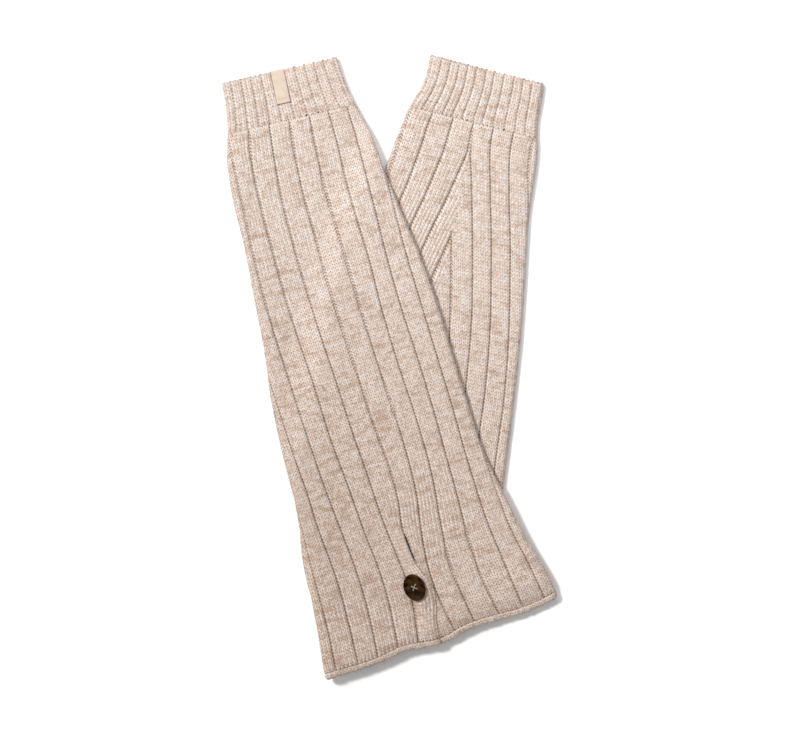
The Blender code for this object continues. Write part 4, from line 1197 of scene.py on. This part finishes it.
def slab_base(name, top, bottom, numbers):
    """A closed solid between two grids of points, each of rows by columns by 3."""
    rows, columns = top.shape[:2]
    points = np.concatenate([top.reshape(-1, 3), bottom.reshape(-1, 3)])
    at = np.arange(rows * columns).reshape(rows, columns)
    faces = []
    for grid in (at, at + rows * columns):
        for r in range(rows - 1):
            for c in range(columns - 1):
                faces.append((grid[r, c], grid[r, c + 1], grid[r + 1, c + 1], grid[r + 1, c]))
    rim = [(0, c) for c in range(columns)]
    rim += [(r, columns - 1) for r in range(1, rows)]
    rim += [(rows - 1, c) for c in range(columns - 2, -1, -1)]
    rim += [(r, 0) for r in range(rows - 2, 0, -1)]
    for first, second in zip(rim, rim[1:] + rim[:1]):
        faces.append((at[first], at[second], at[second] + rows * columns, at[first] + rows * columns))
    doubled = {label: np.concatenate([held.ravel(), held.ravel()]) for label, held in numbers.items()}
    doubled["press"][rows * columns :] = 0.0
    faces = [tuple(int(i) for i in face) for face in faces]
    return faced_out(base_mesh(name, points, faces, doubled))


def laid_down(lay, along, across, height):
    """Points in space from places on a lay."""
    x, y = lay.plan(along.ravel(), across.ravel())
    z = height.ravel() + lay.lift(x, y)
    return np.column_stack([x, y, z]).reshape(*along.shape, 3)


def band_base():
    courses = round((OVER_END - OVER_START) / COURSE)
    step = (OVER_END - OVER_START) / courses
    halves = np.array([h for h in range(2 * courses + 1) if OVER_START + h * step / 2 >= BAND[0].at])
    rows = (OVER_START + halves * step / 2)[:, None]
    left = smooth(BAND, "left", rows) - TOP.drift_at(rows)
    width = smooth(BAND, "free", rows) - smooth(BAND, "left", rows)
    share = np.linspace(0, 1, BAND_COLUMNS + 1)[None, :] + 0 * rows
    wale = RIB_WALES * (share - 1)
    risen = ease(rows, BAND[0].at, BAND[0].at + BAND_FADE)
    in_groove = 1 - np.exp(-((share * width / GROOVE_CLOSED) ** 2))
    at_vent = 1 - np.exp(-(((1 - share) * width / GROOVE_CLOSED) ** 2)) * (1 - risen)
    crown = CROWN_SHARE + (1 - CROWN_SHARE) * np.sin(pi * share)
    height = (RIB_RISE + GROOVE_DEEP) * in_groove * at_vent * crown - GROOVE_DEEP
    height = height + BAND_RISE * risen * ease(share, 0, BAND_SHOULDER)
    height = height - BAND_EDGE_FALL * risen * ease(share, BAND_EDGE_START, 1.05)
    height = height - BAND_SINK * (1 - ease(rows, BAND[0].at, BAND[0].at + 8) * ease(share, 0, 0.12))
    across = left + width * share
    height = FLAT_HEIGHT + height + puff(rows + 0 * share, across)
    purl = np.clip(1.75 - 3 * RIB_WALES * share, 0, 1)
    from_middle = np.abs(wale - np.round(wale))
    along = rows + STITCH_SLANT * COURSE * (0.25 - from_middle) * 2 * (1 - purl)
    # dark is painted shade in the groove at the overlap's left edge and in the vent's groove
    dark = np.exp(-((share * width / (0.75 * GROOVE_CLOSED)) ** 2)) + (1 - at_vent)
    press = np.ones_like(share)
    foot = np.minimum(FLAT_HEIGHT - BAND_FOOT, height - 0.4)
    for out, down in WALL_STEPS:
        across = np.column_stack([across, across[:, BAND_COLUMNS] + out * risen[:, 0]])
        drop = (height[:, BAND_COLUMNS] - foot[:, BAND_COLUMNS]) * down
        height = np.column_stack([height, height[:, BAND_COLUMNS] - drop])
        along = np.column_stack([along, along[:, BAND_COLUMNS]])
        # the side wall is painted dark as painted shade, more so further down
        dark = np.column_stack([dark, np.full(len(dark), 0.35 + 0.65 * down)])
        wale = np.column_stack([wale, wale[:, -1] + 0.2])
        purl = np.column_stack([purl, purl[:, -1]])
        press = np.column_stack([press, np.full(len(press), 0.3)])
        foot = np.column_stack([foot, foot[:, BAND_COLUMNS]])
    course = halves[:, None] / 2 + 0 * along
    numbers = {"wale": wale, "course": course, "purl": purl, "press": press, "groove": dark}
    top = laid_down(TOP, along, across, height)
    bottom = laid_down(TOP, along, across, np.minimum(foot, height - 0.02) - 0.05)
    return slab_base("over_band_knit", top, bottom, numbers)


band = knitted("over_band_knit", band_base(), BAND_SEED, BAND_KNIT, BAND_RELIEF)

# %% [markdown]
# ## Rolled edges
#
# Left to itself, the end of a stocking-stitch tube rolls outwards and shows its purl side. The roll
# is swept round the hem: a route of points round the flattened tube, then a ring of points round
# each. At the vent it is cut: one end lies under the overlap, the other climbs onto it.

# %% Rolled edges
ROLL_GAP = 0.3
ROLL_HALF = 2.1
ROLL_FRONT = 1.8
ROLL_PRESSED = 1.0
ROLL_SIDE = 1.35
ROLL_BACK = 1.1
ROLL_ANGLES = (-75, -60, -45, -30, -15, 0, 15, 30, 45, 60, 75)
ROLL_STEP = 0.65
ROLL_POINTS = 18
ROLL_COURSES = 6
ROLL_PURL = 0.1
ROLL_SWAY = 0.5  # how far it follows the waves below, and how much it swells with them
ROLL_SWELL = 0.15
ROLL_RELIEF = 1.7  # the roll shows the cloth's bumpier side
ROLL_SEEDS = {"over": 41, "under": 43}
UNDERLAP = 8.0
OVERLAP_CLIMB = (0.25, 0.6, 1.0)
OVERLAP_TOP = 0.6
OVERLAP_ROLL_LOW = 1.3
OVERLAP_ROLL_HIGH = 1.6
OVERLAP_CLEAR = 4.0
Wave = namedtuple("Wave", "length height start")
ROLL_WAVES = [Wave(23.0, 0.32, 1.0), Wave(9.7, 0.3, 2.2), Wave(5.3, 0.3, 0.4), Wave(2.9, 0.35, 0.9)]


def hem_route(half, front, front_roll):
    """(across, height, half height) round the middle of a flattened rolled edge."""
    fold = (front - ROLL_BACK) / 2
    edge = half - fold - ROLL_SIDE
    arc = []
    for angle in reversed(ROLL_ANGLES):
        turn = radians(angle)
        arc.append((edge + fold * cos(turn), ROLL_BACK + fold * (1 + sin(turn)), ROLL_SIDE))
    route = [(float(x), front, front_roll) for x in np.linspace(-edge, edge, 41)]
    route += arc
    route += [(float(x), ROLL_BACK, ROLL_BACK) for x in np.linspace(edge, -edge, 9)]
    return route + [(-across, height, high) for across, height, high in reversed(arc)]


def split_at_vent(route, front):
    """The same route opened at the vent, from below the overlap's free edge round to its top."""
    free = float(smooth(BAND, "free", OVER_END) - TOP.drift_at(OVER_END))
    left = float(smooth(BAND, "left", OVER_END) - TOP.drift_at(OVER_END))
    low = front + OVERLAP_ROLL_LOW - ROLL_FRONT
    high = low + 2 * ROLL_FRONT
    first = next(i for i, point in enumerate(route) if point[0] > free + OVERLAP_CLEAR)
    rest = route[first:] + [point for point in route[:first] if point[0] < left - OVERLAP_CLEAR / 2]
    start = [(free - UNDERLAP, low, OVERLAP_ROLL_LOW), (free, low, OVERLAP_ROLL_LOW)]
    finish = []
    for share in OVERLAP_CLIMB:
        height = front + (high - front) * float(ease(share, 0.0, OVERLAP_TOP))
        finish.append((left + (free - left) * share, height, OVERLAP_ROLL_HIGH))
    return start + rest + finish


def wrapped(rings, around, closed=False):
    """The faces of a tube whose rings have the same number of points, with its two ends if open."""
    faces = []
    for r in range(rings if closed else rings - 1):
        after = (r + 1) % rings
        for k in range(around):
            n = (k + 1) % around
            faces.append(tuple(i * around + c for i, c in ((r, k), (r, n), (after, n), (after, k))))
    if not closed:
        faces += [tuple(range(around)), tuple(range((rings - 1) * around, rings * around))]
    return faces


def roll_base(name, lay, route, closed):
    """A bumpy roll swept along its route."""
    route = np.array(route + route[:1] if closed else route)
    way = np.concatenate([[0.0], np.cumsum(np.hypot(*np.diff(route[:, :2], axis=0).T))])
    count = round(way[-1] / ROLL_STEP)
    at = np.linspace(0, way[-1], count + 1)
    across, height, high = (np.interp(at, way, route[:, i]) for i in range(3))
    run = np.column_stack([np.gradient(across), np.gradient(height)])
    run /= np.hypot(*run.T)[:, None]
    size = np.ones(count + 1)
    if closed:
        across, height, high, at, run, size = (v[:-1] for v in (across, height, high, at, run, size))
    else:
        size[[0, -1]] = 0.45
        size[[1, -2]] = 0.8
        size[[2, -3]] = 0.95
    wander = sum(wave.height * np.sin(2 * pi * at / wave.length + wave.start) for wave in ROLL_WAVES)
    turn = 2 * pi * np.arange(ROLL_POINTS) / ROLL_POINTS - pi / 2
    reach = (high * size)[:, None] * np.sin(turn)
    ring_across = across[:, None] - run[:, 1:] * reach
    ring_height = height[:, None] + run[:, :1] * reach
    middle = lay.length - ROLL_LENGTH + ROLL_GAP + ROLL_HALF
    stout = ROLL_HALF * size * (1 + ROLL_SWELL * wander)
    ring_along = middle + ROLL_SWAY * wander[:, None] + stout[:, None] * np.cos(turn)
    points = laid_down(lay, ring_along, ring_across, ring_height).reshape(-1, 3)
    sections = len(at)
    faces = wrapped(sections, ROLL_POINTS, closed)
    shape = (sections, ROLL_POINTS)
    # Painted shade on the roll's side that faces the leg, in the crevice between them.
    painted_crevice_shade = np.exp(-(((np.cos(turn) + 1) / 0.35) ** 2)) * (1 - ease(np.sin(turn), 0.75, 1.0))
    numbers = {
        "wale": np.broadcast_to((at / WALE)[:, None], shape).ravel(),
        "course": np.broadcast_to(ROLL_COURSES * np.arange(ROLL_POINTS) / ROLL_POINTS, shape).ravel(),
        "purl": np.full(shape, ROLL_PURL).ravel(),
        "press": np.broadcast_to(ease(ring_height, 0.9, 2.4) * 0.8, shape).ravel(),
        "groove": np.broadcast_to(painted_crevice_shade, shape).ravel(),
    }
    return faced_out(base_mesh(name, points, faces, numbers))


hems = {}
vented = split_at_vent(hem_route(float(TOP.half(LENGTH)), FLAT_HEIGHT, ROLL_FRONT), FLAT_HEIGHT)
pressed = FLAT_HEIGHT + RIB_RISE - ROLL_PRESSED
hidden = hem_route(float(LOWER.half(LOWER.length)), pressed, ROLL_PRESSED)
for prefix, lay, route in (("over", TOP, vented), ("under", LOWER, hidden)):
    name = prefix + "_hem_knit"
    base = roll_base(name, lay, route, prefix == "under")
    hems[prefix] = knitted(name, base, ROLL_SEEDS[prefix], HEM_KNIT, ROLL_RELIEF)

# %% [markdown]
# ## Woven label
#
# A bare strip of cream tape, folded over the cuff's edge. A shallow crease near its lower end is
# where it is sewn down. Its profile is a list of places along and heights; the strip is the same
# profile repeated across, a little lower at its two long edges. What goes on behind the edge can't
# be seen and isn't made. The weave is only a bump, since its threads are finer than the mesh.

# %% Label
TAPE_CREAM = (0.62, 0.50, 0.405, 1.0)
# a darker tone of the tape, also used for painted shade in its sewn crease
TAPE_DARK_TONE_AND_SHADE = (0.50, 0.38, 0.29, 1.0)
TAPE_THREAD = 0.42  # pitch of its threads
LABEL_TOP = 6.8
LABEL_FOOT = 2.9
LABEL_BEND = 0.8
LABEL_COLUMNS = 16
LABEL_DROOP = 0.3
LABEL_STITCH_ALONG = 20.4
LABEL_WALL = 0.6
LABEL_CREASE = 0.22
LABEL_WAVE = 0.12


def tape_material():
    made, bench, shader = principled("label_weave")
    along = read(bench, "course")
    across = read(bench, "wale")
    over = bench.maths("SINE", along * (2 * pi / TAPE_THREAD))
    under = bench.maths("SINE", across * (2 * pi / TAPE_THREAD))
    weave = over * under * 0.5 + 0.5
    place = bench.node("ShaderNodeTexCoord", out="Object")
    patches = bench.node("ShaderNodeTexNoise", {"Vector": place, "Scale": 300.0, "Detail": 2.0})
    # the weave and patches are the tape's own tone; the groove term is painted shade in the sewn crease
    share = weave * 0.25 + bench.smooth_step(patches, 0.4, 0.7) * 0.3 + read(bench, "groove") * 0.5
    bench.join(blend_colours(bench, share, TAPE_CREAM, TAPE_DARK_TONE_AND_SHADE), shader.inputs["Base Color"])
    shader.inputs["Roughness"].default_value = 0.62
    shader.inputs["Sheen Weight"].default_value = 0.1
    bump = {"Height": weave, "Strength": 0.5, "Distance": 0.0001}
    bench.join(bench.node("ShaderNodeBump", bump), shader.inputs["Normal"])
    return made


def label_piece():
    bend = np.linspace(pi, pi / 2, 6)
    outer = [(LABEL_OUTSIDE + 0.1, LABEL_FOOT), (LABEL_OUTSIDE + 0.1, LABEL_TOP - LABEL_BEND - 0.6)]
    middle = (LABEL_OUTSIDE + 0.1 + LABEL_BEND, LABEL_TOP - LABEL_BEND)
    outer += [(middle[0] + LABEL_BEND * cos(a), middle[1] + LABEL_BEND * sin(a)) for a in bend]
    outer += [(along, LABEL_TOP) for along in np.linspace(1.0, LABEL_LENGTH, 40)]
    outer = np.array(outer)
    ahead = np.gradient(outer, axis=0)
    ahead /= np.hypot(*ahead.T)[:, None]
    inner = outer + LABEL_WALL * np.column_stack([ahead[:, 1], -ahead[:, 0]])
    side = np.linspace(-1, 1, LABEL_COLUMNS + 1)[None, :]
    grids = []
    for profile in (outer, inner):
        along = profile[:, :1] + 0 * side
        across = LABEL_TOP_ACROSS + LABEL_LEAN * along / LABEL_LENGTH + side * LABEL_WIDTH / 2
        droop = LABEL_DROOP * side**4 * ease(along, 0, 3)
        crease = LABEL_CREASE * np.exp(-(((along - LABEL_STITCH_ALONG) / 0.4) ** 2))
        lift = LABEL_WAVE * np.sin(along * 0.45 + side) * ease(along, 2, 8)
        grids.append(laid_down(TOP, along, across, profile[:, 1:] - droop - crease + lift))
    way = np.cumsum(np.hypot(*np.diff(outer, axis=0, prepend=outer[:1]).T))[:, None] + 0 * side
    numbers = {
        "wale": side * LABEL_WIDTH / 2 + 0 * way,
        "course": way,
        # painted shade along the sewn crease
        "groove": np.exp(-(((outer[:, :1] - LABEL_STITCH_ALONG) / 0.35) ** 2)) + 0 * side,
        "press": 0 * way,
    }
    made = slab_base("label_weave", grids[0], grids[1], numbers)
    made.data.materials.append(tape_material())
    made.data.shade_smooth()
    made.name = "over_label_tape"
    return made


label = label_piece()
print("label:", len(label.data.polygons), "faces")

# %% [markdown]
# ## Horn button
#
# A disc with a rim and a dish, oval because it shows as an oval from above; a real one may be
# round and lean further over. Its outline is turned round as on a lathe, and four holes are drilled
# by a Boolean. The horn is a dark brown with paler streaks.

# %% Button
BUTTON_HALF_WIDTH = 7.8
BUTTON_HALF_LENGTH = 10.0
BUTTON_RISE = 9.2
BUTTON_TURN = 10.0
BUTTON_TILT = 15.0
BUTTON_SEGMENTS = 96
Turned = namedtuple("Turned", "share height")
BUTTON_PROFILE = [
    Turned(0.84, 0.0), Turned(0.93, 0.22), Turned(0.98, 0.6), Turned(1.0, 1.05), Turned(0.998, 1.6),
    Turned(0.982, 2.05), Turned(0.955, 2.38), Turned(0.92, 2.5), Turned(0.885, 2.46), Turned(0.85, 2.25),
    Turned(0.81, 1.85), Turned(0.77, 1.52), Turned(0.72, 1.34), Turned(0.6, 1.28), Turned(0.3, 1.22),
    Turned(0.1, 1.2),
]
HOLE_RADIUS = 1.05
HOLE_SEGMENTS = 28
HOLE_SPREAD = 1.6
HORN_DARK = (0.007, 0.0022, 0.0005, 1.0)
HORN_BROWN = (0.033, 0.0145, 0.0022, 1.0)
HORN_PALE = (0.075, 0.043, 0.015, 1.0)


def horn_material():
    made, bench, shader = principled("dark_horn")
    place = bench.node("ShaderNodeTexCoord", out="Object")
    drawn = bench.node("ShaderNodeMapping", {"Vector": place, "Scale": (90.0, 330.0, 200.0)})
    streak = bench.node("ShaderNodeTexNoise", {"Vector": drawn, "Scale": 1.0, "Detail": 3.0})
    cloud = bench.node("ShaderNodeTexNoise", {"Vector": place, "Scale": 170.0, "Detail": 2.0})
    body = blend_colours(bench, bench.smooth_step(cloud, 0.38, 0.62), HORN_DARK, HORN_BROWN)
    pale = bench.smooth_step(streak, 0.52, 0.78)
    bench.join(blend_colours(bench, pale * 0.6, body, HORN_PALE), shader.inputs["Base Color"])
    bench.join(0.34 + streak * 0.15, shader.inputs["Roughness"])
    shader.inputs["Specular IOR Level"].default_value = 0.03
    return made


def button_place():
    """The matrix that lays the button, made round the origin, on the overlap."""
    across = np.array([BUTTON_ACROSS]) - TOP.drift_at(BUTTON_ALONG)
    spot = laid_down(TOP, np.array([BUTTON_ALONG]), across, np.array([BUTTON_RISE]))[0]
    turned = Matrix.Rotation(radians(OVER_HEADING + BUTTON_TURN), 4, "Z")
    tilted = Matrix.Rotation(radians(-BUTTON_TILT), 4, "Y") @ turned
    return Matrix.Translation(Vector(spot) * MM) @ tilted


def disc_mesh():
    turn = 2 * pi * np.arange(BUTTON_SEGMENTS) / BUTTON_SEGMENTS
    rings = []
    for share, height in BUTTON_PROFILE:
        x = BUTTON_HALF_WIDTH * share * np.cos(turn)
        y = BUTTON_HALF_LENGTH * share * np.sin(turn)
        rings.append(np.column_stack([x, y, np.full(BUTTON_SEGMENTS, height)]))
    faces = wrapped(len(rings), BUTTON_SEGMENTS)
    return faced_out(base_mesh("horn_button", np.concatenate(rings), faces, {}))


def drilled(disc):
    """The disc with its four holes."""
    held = bmesh.new()
    for x, y in ((1, 1), (-1, 1), (-1, -1), (1, -1)):
        made = bmesh.ops.create_cone(
            held, cap_ends=True, segments=HOLE_SEGMENTS,
            radius1=HOLE_RADIUS * MM, radius2=HOLE_RADIUS * MM, depth=0.012,
        )
        aside = (x * HOLE_SPREAD * MM, y * HOLE_SPREAD * MM, 0)
        bmesh.ops.translate(held, verts=made["verts"], vec=aside)
    mesh = bpy.data.meshes.new("drill")
    held.to_mesh(mesh)
    held.free()
    drill = bpy.data.objects.new("drill", mesh)
    bpy.context.scene.collection.objects.link(drill)
    cut = disc.modifiers.new("holes", "BOOLEAN")
    cut.operation = "DIFFERENCE"
    cut.solver = "EXACT"
    cut.object = drill
    view = bpy.context.evaluated_depsgraph_get()
    mesh = bpy.data.meshes.new_from_object(disc.evaluated_get(view), depsgraph=view)
    bpy.data.objects.remove(disc)
    bpy.data.objects.remove(drill)
    return mesh


def set_down(name, mesh, material, sharp):
    """An object at the origin from a mesh made round it, moved into its place on the overlap."""
    mesh.transform(BUTTON_LIES)
    mesh.materials.clear()
    mesh.materials.append(material)
    mesh.shade_smooth()
    mesh.set_sharp_from_angle(angle=radians(sharp))
    made = bpy.data.objects.new(name, mesh)
    bpy.context.scene.collection.objects.link(made)
    return made


BUTTON_LIES = button_place()
button = set_down("horn_button", drilled(disc_mesh()), horn_material(), 40)
print("button:", len(button.data.polygons), "faces")

# %% [markdown]
# ## Sewing thread
#
# Two stitches cross in the dish. Real thread is plied, so each stitch is two plies that wind round
# each other along the same route, and each ply is a slim tube of rings.

# %% Thread
THREAD_RADIUS = 0.33
PLY_SPREAD = 0.2
PLY_PITCH = 1.7
PLY_POINTS = 8
PLY_STEP = 0.12
THREAD_FOOT = -0.4
THREAD_OVER = 2.05
CROSSING_RISE = 0.45
THREAD_BEIGE = (0.33, 0.25, 0.175, 1.0)
THREAD_BROWN = (0.13, 0.09, 0.055, 1.0)


def thread_material():
    made, bench, shader = principled("sewing_thread")
    place = bench.node("ShaderNodeTexCoord", out="Object")
    fibres = bench.node("ShaderNodeTexNoise", {"Vector": place, "Scale": 2500.0, "Detail": 2.0})
    share = bench.smooth_step(fibres, 0.4, 0.7)
    bench.join(blend_colours(bench, share, THREAD_BEIGE, THREAD_BROWN), shader.inputs["Base Color"])
    shader.inputs["Roughness"].default_value = 0.8
    return made


def ply(route, start):
    """Points and faces of one ply, wound round the route."""
    way = np.concatenate([[0.0], np.cumsum(np.linalg.norm(np.diff(route, axis=0), axis=1))])
    at = np.arange(0, way[-1], PLY_STEP)
    middle = np.column_stack([np.interp(at, way, route[:, i]) for i in range(3)])
    ahead = np.gradient(middle, axis=0)
    ahead /= np.linalg.norm(ahead, axis=1)[:, None]
    aside = np.cross(route[-1] - route[0], (0.0, 0.0, 1.0))
    aside = np.broadcast_to(aside / np.linalg.norm(aside), ahead.shape)
    up = np.cross(aside, ahead)
    wind = (2 * pi * at / PLY_PITCH + start)[:, None]
    middle = middle + PLY_SPREAD * (np.cos(wind) * aside + np.sin(wind) * up)
    turn = 2 * pi * np.arange(PLY_POINTS) / PLY_POINTS
    rings = middle[:, None] + THREAD_RADIUS * (
        np.cos(turn)[None, :, None] * aside[:, None] + np.sin(turn)[None, :, None] * up[:, None]
    )
    return rings.reshape(-1, 3), wrapped(len(at), PLY_POINTS)


def thread_mesh():
    points, faces = [], []
    for number, (x, y) in enumerate(((1, 1), (-1, 1))):
        x, y = x * HOLE_SPREAD, y * HOLE_SPREAD
        over = THREAD_OVER
        crown = over + CROSSING_RISE * number
        route = [(x, y, THREAD_FOOT), (x, y, over - 0.5), (0.93 * x, 0.93 * y, over - 0.1)]
        route += [(0.75 * x, 0.75 * y, over), (0.2 * x, 0.2 * y, crown), (-0.2 * x, -0.2 * y, crown)]
        route += [(-0.75 * x, -0.75 * y, over), (-0.93 * x, -0.93 * y, over - 0.1)]
        route += [(-x, -y, over - 0.5), (-x, -y, THREAD_FOOT)]
        for start in (0.0, pi):
            rings, made = ply(np.array(route), start + number)
            used = sum(len(part) for part in points)
            points.append(rings)
            faces += [tuple(i + used for i in face) for face in made]
    made = faced_out(base_mesh("sewing_thread", np.concatenate(points), faces, {}))
    mesh = made.data
    bpy.data.objects.remove(made)
    return mesh


thread = set_down("button_thread", thread_mesh(), thread_material(), 60)
print("thread:", len(thread.data.polygons), "faces")

# %% [markdown]
# ## Into the shared frame
#
# Every piece rides on the one body and takes the place of its own solid. A leg, as it lies when
# it is sewn but not worn, is a piece of cloth 358 mm round and 390 mm long, narrower at the cuff.

# %% Bodies of the pieces
for piece, node, slot in (
    (over_leg, "over_leg", "knit"),
    (under_leg, "under_leg", "knit"),
    (cuffs["over"], "over_cuff", "knit"),
    (cuffs["under"], "under_cuff", "knit"),
    (hems["over"], "over_hem", "knit"),
    (hems["under"], "under_hem", "knit"),
    (band, "over_button_band", "knit"),
    (label, "over_label", "label_tape"),
    (button, "over_button", "button"),
    (thread, "over_button_thread", "thread"),
):
    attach(piece, "root")
    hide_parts(node)

print("pieces in the frame: 10")
